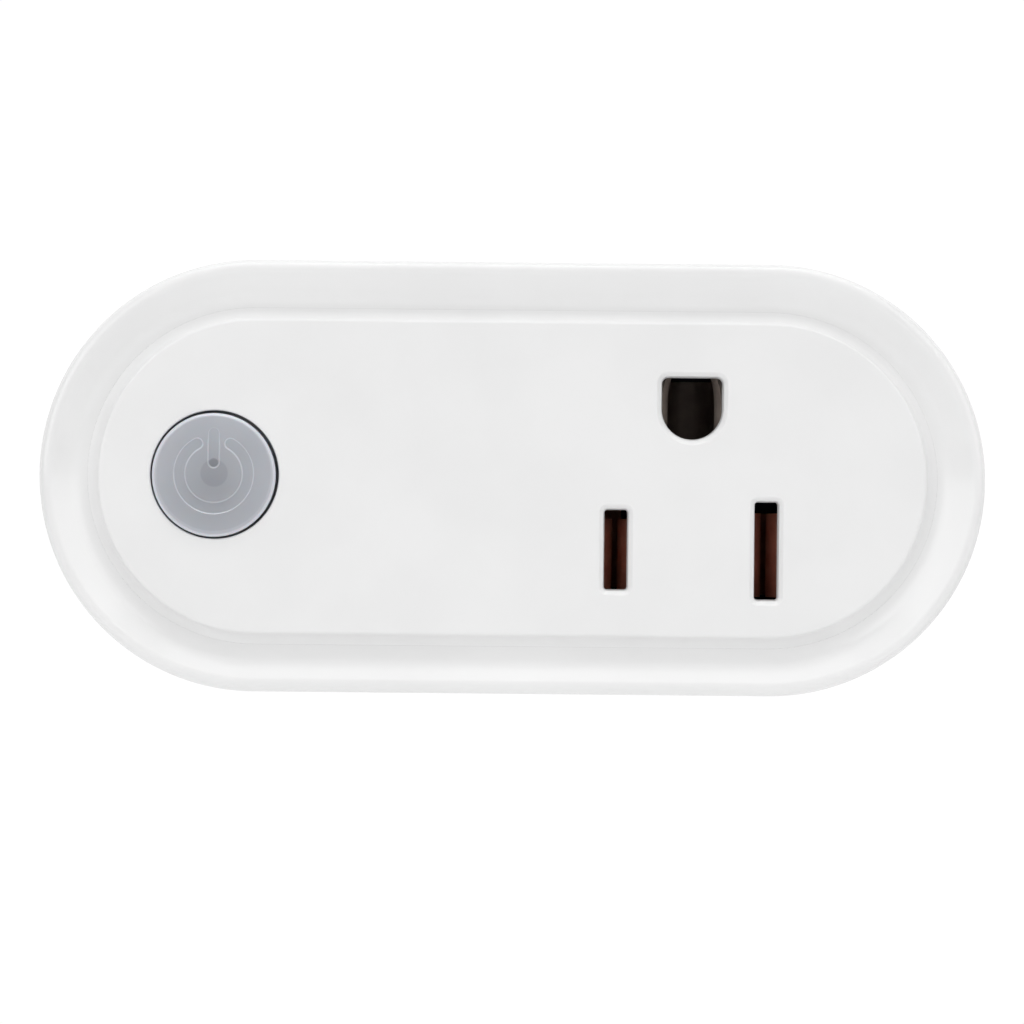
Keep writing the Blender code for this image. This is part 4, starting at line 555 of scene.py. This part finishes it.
blockLow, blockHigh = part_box("contact_block")
gap = housing["gap"]
inFloor = floorBack - housing["floor"] / 2
bossEnd = parting + housing["tongue"]
collarEnd = floorBack + housing["collarRise"]
lap = housing["blockLap"]
added = [rodAlong(f"boss{i}", housing["bossR"], inFloor, bossEnd, p) for i, p in enumerate(screwPlaces)]
added += [
    rodAlong(f"post{i}", housing["postR"], inFloor, boardFront - gap, p)
    for i, p in enumerate(postPlaces)
]
added.append(rodAlong("collar", housing["collarR"], inFloor, collarEnd, (buttonX, 0), 64))
removed = [
    rodAlong("guideCut", housing["guideR"], overrun, floorBack + 3 * overrun, (buttonX, 0), 64),
    plainBox(
        "blockCut",
        (blockLow.x + lap, faceY + overrun, blockLow.z + lap),
        (blockHigh.x - lap, faceY + floorBack + overrun, blockHigh.z - lap),
    ),
]
removed += [
    rodAlong(f"pilot{i}", housing["pilotR"], screwTip - gap, bossEnd + overrun, p)
    for i, p in enumerate(screwPlaces)
]
removed += [
    rodAlong(f"postPilot{i}", housing["postPilotR"], postTip - gap, boardFront, p)
    for i, p in enumerate(postPlaces)
]
removed += [
    rodAlong(f"pegHole{i}", plate["pegR"] + housing["pegGap"], overrun, floorBack + overrun, p)
    for i, p in enumerate(pegPlaces)
]
settleMesh(rimShell, removed, added)
placePiece(rimShell, "front_housing")
print("front housing made")

# the rear housing: a skirt over the tongue, screw tubes, and the flat face that meets the wall

rear = {
    "wall": 2.2 * mm,
    "edge": 2.5 * mm,
    "corner": 1.0 * mm,
    "tubeR": 3.5 * mm,
    "restR": 1.6 * mm,
    "restPast": 0.4 * mm,
    "restBeside": 1.2 * mm,
    "wellR": 2.5 * mm,
    "shankR": 1.5 * mm,
    "seat": 9.0 * mm,
    "shankReach": 2.0 * mm,
    # width, height, corner
    "bladeSlot": (1.92 * mm, 6.75 * mm, 0.2 * mm),
    "pinR": 2.58 * mm,
    "labelDepth": 0.5 * mm,
    "labelCorner": 0.6 * mm,
    "labelEdge": 0.1 * mm,
    "mouthEdge": 0.25 * mm,
    "mouthSteps": 4,
}
bodyDepth = wallY - faceY
insideDepth = bodyDepth - rear["wall"]
start = parting + gap
step = bossEnd + gap
endR = sideR(bodyDepth)
insideR = sideR(insideDepth) - housing["wall"]
skirtR = tongueR + gap
profile = [
    (0, insideDepth),
    (insideR - rear["corner"], insideDepth),
    (insideR, insideDepth - rear["corner"]),
    (innerR, step),
    (skirtR, step),
    (skirtR, start),
    (sideR(start) - seam, start),
    (sideR(start), start + seam),
    *arcPoints((endR - rear["edge"], bodyDepth - rear["edge"]), rear["edge"], math.pi / 2, math.pi, 14),
    (0, bodyDepth),
]
rearShell = ovalBody("rearShell", profile, surfaces["gloss_white"], 80)
inWall = insideDepth + rear["wall"] / 2
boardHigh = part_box("main_board")[1]
restZ = boardHigh.z + rear["restPast"] - rear["restR"]
restFront = boardHigh.y - faceY + gap
tubes = [rodAlong(f"tube{i}", rear["tubeR"], step, inWall, p) for i, p in enumerate(screwPlaces)]
for i, x in enumerate((relayLow.x - rear["restBeside"], blockLow.x + rear["restR"])):
    for j, side in enumerate((-1, 1)):
        tubes.append(rodAlong(f"rest{i}{j}", rear["restR"], restFront, inWall, (x, side * restZ)))
seat = bodyDepth - rear["seat"]
slotW, slotH, corner = rear["bladeSlot"]
edge = rear["mouthEdge"]
wayBack = [(0, wallY - rear["wall"] - overrun)]
turns = [math.pi / 2 * i / rear["mouthSteps"] for i in range(rear["mouthSteps"] + 1)]
mouthBack = wayBack + [(edge * (1 - math.cos(a)), wallY - edge * (1 - math.sin(a))) for a in turns]
mouthBack.append((edge, wallY + overrun))
labelLow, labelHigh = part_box("rating_label")
labelX = (labelLow.x + labelHigh.x) / 2
labelW = labelHigh.x - labelLow.x + 2 * gap
labelH = labelHigh.z - labelLow.z + 2 * gap
rim = rear["labelEdge"]
recess = [(0, wallY - rear["labelDepth"]), (0, wallY - rim), (rim, wallY), (rim, wallY + overrun)]
holes = [
    stackedLoops("lineWay", slotOutline(lineX, slotZ, slotW, slotH, corner), mouthBack),
    stackedLoops("neutralWay", slotOutline(neutralX, slotZ, slotW, slotH, corner), mouthBack),
    stackedLoops("pinWay", roundOutline((outletX, groundZ), rear["pinR"]), mouthBack),
    stackedLoops("labelCut", slotOutline(labelX, 0, labelW, labelH, rear["labelCorner"]), recess),
]
for i, place in enumerate(screwPlaces):
    wellLevels = [(0, faceY + seat), *mouthBack[1:]]
    holes.append(stackedLoops(f"well{i}", roundOutline(place, rear["wellR"]), wellLevels))
    shankStart = step - rear["shankReach"]
    holes.append(rodAlong(f"shank{i}", rear["shankR"], shankStart, seat + overrun, place))
settleMesh(rearShell, holes, tubes)
placePiece(rearShell, "rear_housing")
print("rear housing made")

# the power button: a silicone cap with the standby sign pressed into it

button = {
    "capR": 5.22 * mm,
    "proud": 0.6 * mm,
    "edge": 0.38 * mm,
    "flange": (5.95 * mm, 2.3 * mm, 3.1 * mm),
    "skirt": 0.9 * mm,
    "capBack": 0.8 * mm,
    "stemR": 1.15 * mm,
    "ringR": 2.9 * mm,
    "stroke": 0.48 * mm,
    "gap": math.radians(29),
    "bar": (0.98 * mm, 3.45 * mm),
    "groove": 0.11 * mm,
    "lean": 0.2 * mm,
    "crown": 0.2 * mm,
    "pitR": 0.36 * mm,
    "pitZ": 0.95 * mm,
    "pitDeep": 0.16 * mm,
    "above": 0.3 * mm,
    "shift": (-0.06 * mm, 0.03 * mm),
    "signRise": 0.1 * mm,
}
capR = button["capR"]
capX, capZ = buttonX + button["shift"][0], button["shift"][1]
flangeR, flangeFront, flangeBack = button["flange"]
flangeR += button["shift"][0]
signZ = capZ + button["signRise"]
stemEnd = buttonHigh.y - faceY
crownSteps = 16
crownR = capR - button["edge"]


def crownDepth(radius):
    return -button["proud"] + button["crown"] * (radius / crownR) ** 2


profile = [
    *[(crownR * i / crownSteps, crownDepth(crownR * i / crownSteps)) for i in range(crownSteps)],
    *arcPoints((crownR, crownDepth(crownR) + button["edge"]), button["edge"], 0, math.pi / 2, 10),
    (capR, flangeFront),
    (flangeR, flangeFront),
    (flangeR, flangeBack),
    (capR - button["skirt"], flangeBack),
    (capR - button["skirt"], button["capBack"]),
    (button["stemR"], button["capBack"]),
    (button["stemR"], stemEnd),
    (0, stemEnd),
]
powerCap = turnedBody("powerCap", profile, (capX, capZ), None, 144)


def ringOutline(grow):
    half = button["stroke"] + grow
    ringR = button["ringR"]
    first, last = button["gap"], 2 * math.pi - button["gap"]
    outer = [first + (last - first) * i / 120 for i in range(121)]
    points = [((ringR + half) * math.sin(a), (ringR + half) * math.cos(a)) for a in outer]
    ends = [math.pi * i / 14 for i in range(1, 14)]
    tip = (ringR * math.sin(last), ringR * math.cos(last))
    points += [(tip[0] + half * math.sin(last + a), tip[1] + half * math.cos(last + a)) for a in ends]
    points += [((ringR - half) * math.sin(a), (ringR - half) * math.cos(a)) for a in reversed(outer)]
    tip = (ringR * math.sin(first), ringR * math.cos(first))
    points += [(tip[0] - half * math.sin(first + a), tip[1] - half * math.cos(first + a)) for a in ends]
    return [(capX + x, signZ + z) for x, z in points]


def barOutline(grow):
    half = button["stroke"] + grow
    points = []
    for z, spin in ((button["bar"][1], 0), (button["bar"][0], math.pi)):
        turns = [spin + math.pi * i / 16 for i in range(17)]
        points += [(capX + half * math.cos(a), signZ + z + half * math.sin(a)) for a in turns]
    return points


def grooveLevels(surface, steps=8):
    # walls eased at the mouth and at the floor, from just outside the cap to the groove's floor
    lean, deep = button["lean"], button["groove"]
    eased = [(i / steps, (1 - math.cos(math.pi * i / steps)) / 2) for i in range(steps + 1)]
    walls = [(lean * (0.5 - t), surface + deep * ease) for t, ease in eased]
    return [(lean / 2, surface - button["above"]), *walls]


def paintShadeSpots(material, place, spots):
    # painted shade: each spot scales the base colour down inside it; each spot is (across, up, radius, width
    # of its soft edge, gain inside it)
    tree = material.node_tree
    shader = tree.nodes["Principled BSDF"]
    coords = addNode(tree, "ShaderNodeTexCoord")
    colour = shader.inputs["Base Color"].links[0].from_socket
    for x, z, radius, soft, gain in spots:
        flat = addNode(tree, "ShaderNodeMapping", {
            "Vector": coords.outputs["Object"],
            "Location": (-place[0] - x, 0, -place[1] - z),
            "Scale": (1, 0, 1),
        })
        reach = addNode(tree, "ShaderNodeVectorMath", {0: flat.outputs["Vector"]}, operation="LENGTH")
        level = addNode(tree, "ShaderNodeMapRange", {
            "Value": reach.outputs["Value"],
            "From Min": radius - soft / 2,
            "From Max": radius + soft / 2,
            "To Min": gain,
            "To Max": 1.0,
        })
        scaled = {0: colour, "Scale": level.outputs["Result"]}
        made = addNode(tree, "ShaderNodeVectorMath", scaled, operation="SCALE")
        colour = made.outputs["Vector"]
    tree.links.new(colour, shader.inputs["Base Color"])


def paintWallHighlights(material, gain):
    # painted highlight: the base colour is made lighter on steep walls, such as the groove walls and the
    # cap's rounded edge, than on the flat top
    tree = material.node_tree
    shader = tree.nodes["Principled BSDF"]
    colour = shader.inputs["Base Color"].links[0].from_socket
    coords = addNode(tree, "ShaderNodeTexCoord")
    split = addNode(tree, "ShaderNodeSeparateXYZ", {"Vector": coords.outputs["Normal"]})
    facing = addNode(tree, "ShaderNodeMath", {0: split.outputs["Y"]}, operation="ABSOLUTE")
    level = addNode(tree, "ShaderNodeMapRange", {
        "Value": facing.outputs["Value"],
        "From Min": 0.84,
        "From Max": 0.97,
        "To Min": gain,
        "To Max": 1.0,
    })
    scaled = {0: colour, "Scale": level.outputs["Result"]}
    made = addNode(tree, "ShaderNodeVectorMath", scaled, operation="SCALE")
    tree.links.new(made.outputs["Vector"], shader.inputs["Base Color"])


# painted shade on the silicone, not its own colour: darker over the stem behind it, in the pit, towards the
# middle and below it, and inside the rim, so the top and the edge read as lit
siliconePaintedLight = surfaces["grey_silicone"].copy()
siliconePaintedLight.name = "siliconePaintedLight"
paintShadeSpots(siliconePaintedLight, (capX, signZ), [
    (0.05 * mm, 0.06 * mm, button["stemR"], 0.12 * mm, 0.88),
    (0, button["pitZ"], button["pitR"], 0.1 * mm, 0.74),
    (0, -1.1 * mm, 3.4 * mm, 5.5 * mm, 0.76),
    (0, 0, capR - 0.4 * mm, 0.1 * mm, 0.9),
])
# painted highlight on the cap's steep walls
paintWallHighlights(siliconePaintedLight, 1.35)
powerCap.data.materials.append(siliconePaintedLight)
ringY = faceY + crownDepth(button["ringR"])
barY = faceY + crownDepth(sum(button["bar"]) / 2)
pitFloor = button["pitDeep"] - button["proud"]
settleMesh(powerCap, [
    stackedLoops("ringGroove", ringOutline, grooveLevels(ringY)),
    stackedLoops("barGroove", barOutline, grooveLevels(barY)),
    rodAlong("pit", button["pitR"], -overrun, pitFloor, (capX, signZ + button["pitZ"])),
])
placePiece(powerCap, "power_button")
print("power button made")

# the contacts: bent strips whose flared lips show inside the outlet


def bentStrip(name, half, height, thickness, centre, curl, material):
    # half is one leaf in plan, from its lip back to the base, as (x, distance behind the face)
    path = [(-x, d) for x, d in half] + half[::-1]
    sides = []
    for side in (-0.5, 0.5):
        row = []
        for i, (x, d) in enumerate(path):
            x0, d0 = path[max(i - 1, 0)]
            x1, d1 = path[min(i + 1, len(path) - 1)]
            run = math.hypot(x1 - x0, d1 - d0)
            row.append((x - side * thickness * (d1 - d0) / run, d + side * thickness * (x1 - x0) / run))
        sides.append(row)
    bm = bmesh.new()
    outline = sides[0] + sides[1][::-1]
    foot = centre[1] - height / 2
    face = bm.faces.new([bm.verts.new((centre[0] + x, faceY + d, foot)) for x, d in outline])
    rows = 14
    for i in range(rows):
        made = bmesh.ops.extrude_face_region(bm, geom=[face])["geom"]
        moved = [v for v in made if isinstance(v, bmesh.types.BMVert)]
        bmesh.ops.translate(bm, vec=(0, 0, height / rows), verts=moved)
        if i:
            bm.faces.remove(face)
        face = next(f for f in made if isinstance(f, bmesh.types.BMFace))
    for v in bm.verts:
        rise = max(0, (v.co.z - centre[1]) / height * 2)
        v.co.x -= (v.co.x - centre[0]) * curl * rise ** 3
    return linkMesh(name, bm, material)


def leafPath(lip, throat, shoulder, depths):
    # eased from the flared lip to the throat, then out to the shoulder and round to the middle of the base
    lipDepth, throatDepth, shoulderDepth, baseDepth = depths
    lipSteps, flareSteps, baseSteps = 16, 12, 10
    points = []
    for i in range(lipSteps + 1):
        t = i / lipSteps
        ease = math.sin(t * math.pi / 2)
        points.append((lip + (throat - lip) * ease, lipDepth + (throatDepth - lipDepth) * t))
    for i in range(1, flareSteps + 1):
        t = i / flareSteps
        ease = t * t * (3 - 2 * t)
        points.append((throat + (shoulder - throat) * ease, throatDepth + (shoulderDepth - throatDepth) * t))
    turns = [math.pi / 2 * i / baseSteps for i in range(baseSteps)]
    points += [(shoulder * math.cos(a), baseDepth - shoulder + shoulder * math.sin(a)) for a in turns]
    return points


# the ground contact's bronze: paler and greyer, under a thin plating
groundMetal = makeSurface("groundBronze", {
    "dark": "#a89a92", "light": "#b5a79e", "grain": 0.15, "cloud": 2, "relief": 0.004,
    "roughness": (0.5, 0.6), "stretch": (1, 0.15, 1), "shader": {"Metallic": 0.55},
}, bodyCentre)
contact = {
    "sheet": 0.4 * mm,
    "lipDepth": 3.45 * mm,
    "shoulderDepth": 11.5 * mm,
    "tabWidth": 2.4 * mm,
    "tabSheet": 0.5 * mm,
    "tabRise": 1.8 * mm,
    "tongue": (1.5 * mm, 0.3 * mm, 3.4 * mm),
    "base": 18.8 * mm,
    # node: inside half widths at the lip and the throat, throat depth, bottom and top from the middle, curl
    "line_contact": (1.4 * mm, 0.22 * mm, 7.5 * mm, -3.4 * mm, 2.6 * mm, 0.0),
    "neutral_contact": (1.4 * mm, 0.22 * mm, 7.5 * mm, -3.95 * mm, 3.2 * mm, 0.0),
    "ground_contact": (2.5 * mm, 1.98 * mm, 5.0 * mm, -2.8 * mm, 2.7 * mm, 0.16),
}
sheet = contact["sheet"]
for node, x, z in (
    ("line_contact", lineX, slotZ),
    ("neutral_contact", neutralX, slotZ),
    ("ground_contact", outletX, groundZ),
):
    lip, throat, throatDepth, bottom, top, curl = contact[node]
    low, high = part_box(node)
    depths = (contact["lipDepth"], throatDepth, contact["shoulderDepth"], contact["base"])
    shoulder = (high.x - low.x) / 2 - sheet / 2
    half = leafPath(lip + sheet / 2, throat + sheet / 2, shoulder, depths)
    middle = z + (bottom + top) / 2
    isGround = node == "ground_contact"
    metal = groundMetal if isGround else surfaces["bronze"]
    strip = bentStrip(node + "Strip", half, top - bottom, sheet, (x, middle), curl, metal)
    tabX = outletX - shoulder + contact["tabSheet"] / 2 if isGround else x
    tabZ = groundZ if isGround else slotZ + contact["tabRise"]
    extras = [plainBox(
        node + "Tab",
        (tabX - contact["tabSheet"] / 2, faceY + contact["base"] - shoulder, tabZ - contact["tabWidth"] / 2),
        (tabX + contact["tabSheet"] / 2, high.y, tabZ + contact["tabWidth"] / 2),
    )]
    if node == "line_contact":
        # a tongue on the base, which closes the tab's hole behind it
        wide, thick, tall = contact["tongue"]
        extras.append(plainBox(
            node + "Tongue",
            (x - wide / 2, faceY + contact["base"] - thick / 2, slotZ),
            (x + wide / 2, faceY + contact["base"] + thick / 2, slotZ + tall),
        ))
    settleMesh(strip, (), extras, 40)
    placePiece(strip, node)
print("contacts made")

# the blades and the pin: plated brass with rounded edges


def softenedCopy(name, node, width):
    bm = bmesh.new()
    bm.from_mesh(frame["nodes"][node].data)
    bmesh.ops.remove_doubles(bm, verts=bm.verts, dist=weld)
    bmesh.ops.dissolve_limit(
        bm, angle_limit=math.radians(1), verts=bm.verts, edges=bm.edges, use_dissolve_boundaries=False
    )
    least = math.radians(30)
    bmesh.ops.bevel(
        bm,
        geom=[e for e in bm.edges if len(e.link_faces) == 2 and e.calc_face_angle() > least],
        offset=width,
        offset_type="OFFSET",
        segments=2,
        profile=0.5,
        affect="EDGES",
        clamp_overlap=True,
        material=-1,
    )
    piece = linkMesh(name, bm, surfaces[slotOf[node]])
    settleMesh(piece)
    placePiece(piece, node)


pin = {
    "radius": 2.38 * mm,
    "tailR": 1.1 * mm,
    "neckR": 1.6 * mm,
    "neck": 2.0 * mm,
    "flange": (3.18 * mm, 1.2 * mm),
    "edge": 0.15 * mm,
}
tip = pinHigh.y - faceY
tail = pinLow.y - faceY
flangeEnd = insideDepth - gap
flangeStart = flangeEnd - pin["flange"][1]
profile = [
    (0, tail),
    (pin["tailR"] - pin["edge"], tail),
    (pin["tailR"], tail + pin["edge"]),
    (pin["tailR"], restFront),
    (pin["neckR"], flangeStart - pin["neck"]),
    (pin["neckR"], flangeStart),
    (pin["flange"][0], flangeStart),
    (pin["flange"][0], flangeEnd),
    (pin["radius"], flangeEnd),
    *arcPoints((0, tip - pin["radius"]), pin["radius"], math.pi / 2, math.pi, 16),
]
groundPin = turnedBody("groundPin", profile, (outletX, groundZ), surfaces["nickel"], 64)
settleMesh(groundPin)
placePiece(groundPin, "ground_pin")
softEdge = {"blade": 0.12 * mm, "label": 0.05 * mm, "screw": 0.06 * mm}
softenedCopy("lineBlade", "line_blade", softEdge["blade"])
softenedCopy("neutralBlade", "neutral_blade", softEdge["blade"])
softenedCopy("ratingLabel", "rating_label", softEdge["label"])
for i in range(1, 5):
    softenedCopy(f"housingScrew{i}", f"housing_screw_{i}", softEdge["screw"])
print("blades and screws made")

for node, obj in frame["nodes"].items():
    obj.data.materials.clear()
    obj.data.materials.append(surfaces[slotOf[node]])

# the camera, level with the plug and square to its face

camera = {
    "distance": 0.5,
    "lens": 208.6,
    "sensor": 36.0,
    "near": 0.01,
    "roll": math.radians(-0.56),
    "aim": (0.0, -2.85 * mm),
}
lens = bpy.data.cameras.new("camera")
lens.lens = camera["lens"]
lens.sensor_width = camera["sensor"]
lens.clip_start = camera["near"]
cameraObject = bpy.data.objects.new("camera", lens)
bpy.context.scene.collection.objects.link(cameraObject)
cameraObject.location = (camera["aim"][0], faceY - camera["distance"], camera["aim"][1])
cameraObject.rotation_euler = (math.pi / 2, camera["roll"], 0)
bpy.context.scene.camera = cameraObject

# the studio: a pale floor, a white room and soft boxes to the left, the right and above


def softBox(name, place, size, power):
    light = bpy.data.lights.new(name, "AREA")
    light.shape = "RECTANGLE"
    light.size, light.size_y = size
    light.energy = power
    obj = bpy.data.objects.new(name, light)
    bpy.context.scene.collection.objects.link(obj)
    obj.location = place
    obj.rotation_euler = (Vector((0, faceY, 0)) - Vector(place)).to_track_quat("-Z", "Y").to_euler()


studio = {
    # the room's strength from below and above in front, behind, and as the camera sees it
    "low": 0.05,
    "high": 0.58,
    "behind": 0.9,
    "seen": 1.02,
    "floorHalf": 0.6,
    "floorZ": -0.115,
    "boxes": {
        # name: place, size, power
        "left": ((-0.55, -0.75, 0.28), (0.75, 0.6), 2.08),
        "right": ((0.6, -0.7, 0.3), (0.7, 0.6), 1.6),
        "top": ((0.12, -0.42, 0.8), (0.9, 0.5), 1.25),
        "skim": ((0, -0.22, 0.8), (0.9, 0.14), 1.5),
    },
}
for name, (place, size, power) in studio["boxes"].items():
    softBox(name, place, size, power)

world = bpy.data.worlds.new("studio")
bpy.context.scene.world = world
world.use_nodes = True
tree = world.node_tree
tree.nodes.clear()
coords = addNode(tree, "ShaderNodeTexCoord")
split = addNode(tree, "ShaderNodeSeparateXYZ", {"Vector": coords.outputs["Generated"]})
ahead = addNode(tree, "ShaderNodeMapRange", {
    "Value": split.outputs["Z"],
    "From Min": -1,
    "From Max": 1,
    "To Min": studio["low"],
    "To Max": studio["high"],
})
level = addNode(tree, "ShaderNodeMapRange", {
    "Value": split.outputs["Y"],
    "From Min": 0,
    "From Max": 0.1,
    "To Min": ahead.outputs["Result"],
    "To Max": studio["behind"],
})
seen = addNode(tree, "ShaderNodeBackground", {"Color": (1, 1, 1, 1), "Strength": studio["seen"]})
room = addNode(tree, "ShaderNodeBackground", {"Color": (1, 1, 1, 1), "Strength": level.outputs["Result"]})
ray = addNode(tree, "ShaderNodeLightPath")
pick = addNode(tree, "ShaderNodeMixShader", {
    0: ray.outputs["Is Camera Ray"],
    1: room.outputs["Background"],
    2: seen.outputs["Background"],
})
addNode(tree, "ShaderNodeOutputWorld", {"Surface": pick.outputs["Shader"]})
bpy.context.scene.view_settings.view_transform = "Standard"

bm = bmesh.new()
bmesh.ops.create_grid(bm, x_segments=1, y_segments=1, size=studio["floorHalf"])
bmesh.ops.translate(bm, vec=(0, 0, studio["floorZ"]), verts=bm.verts)
paper = makeSurface("mattPaper", {
    "dark": "#f4f4f4", "light": "#f7f7f7", "grain": 2, "cloud": 60, "relief": 0.02, "roughness": (0.7, 0.8),
})
floor = linkMesh("floor", bm, paper)

print("studio made")
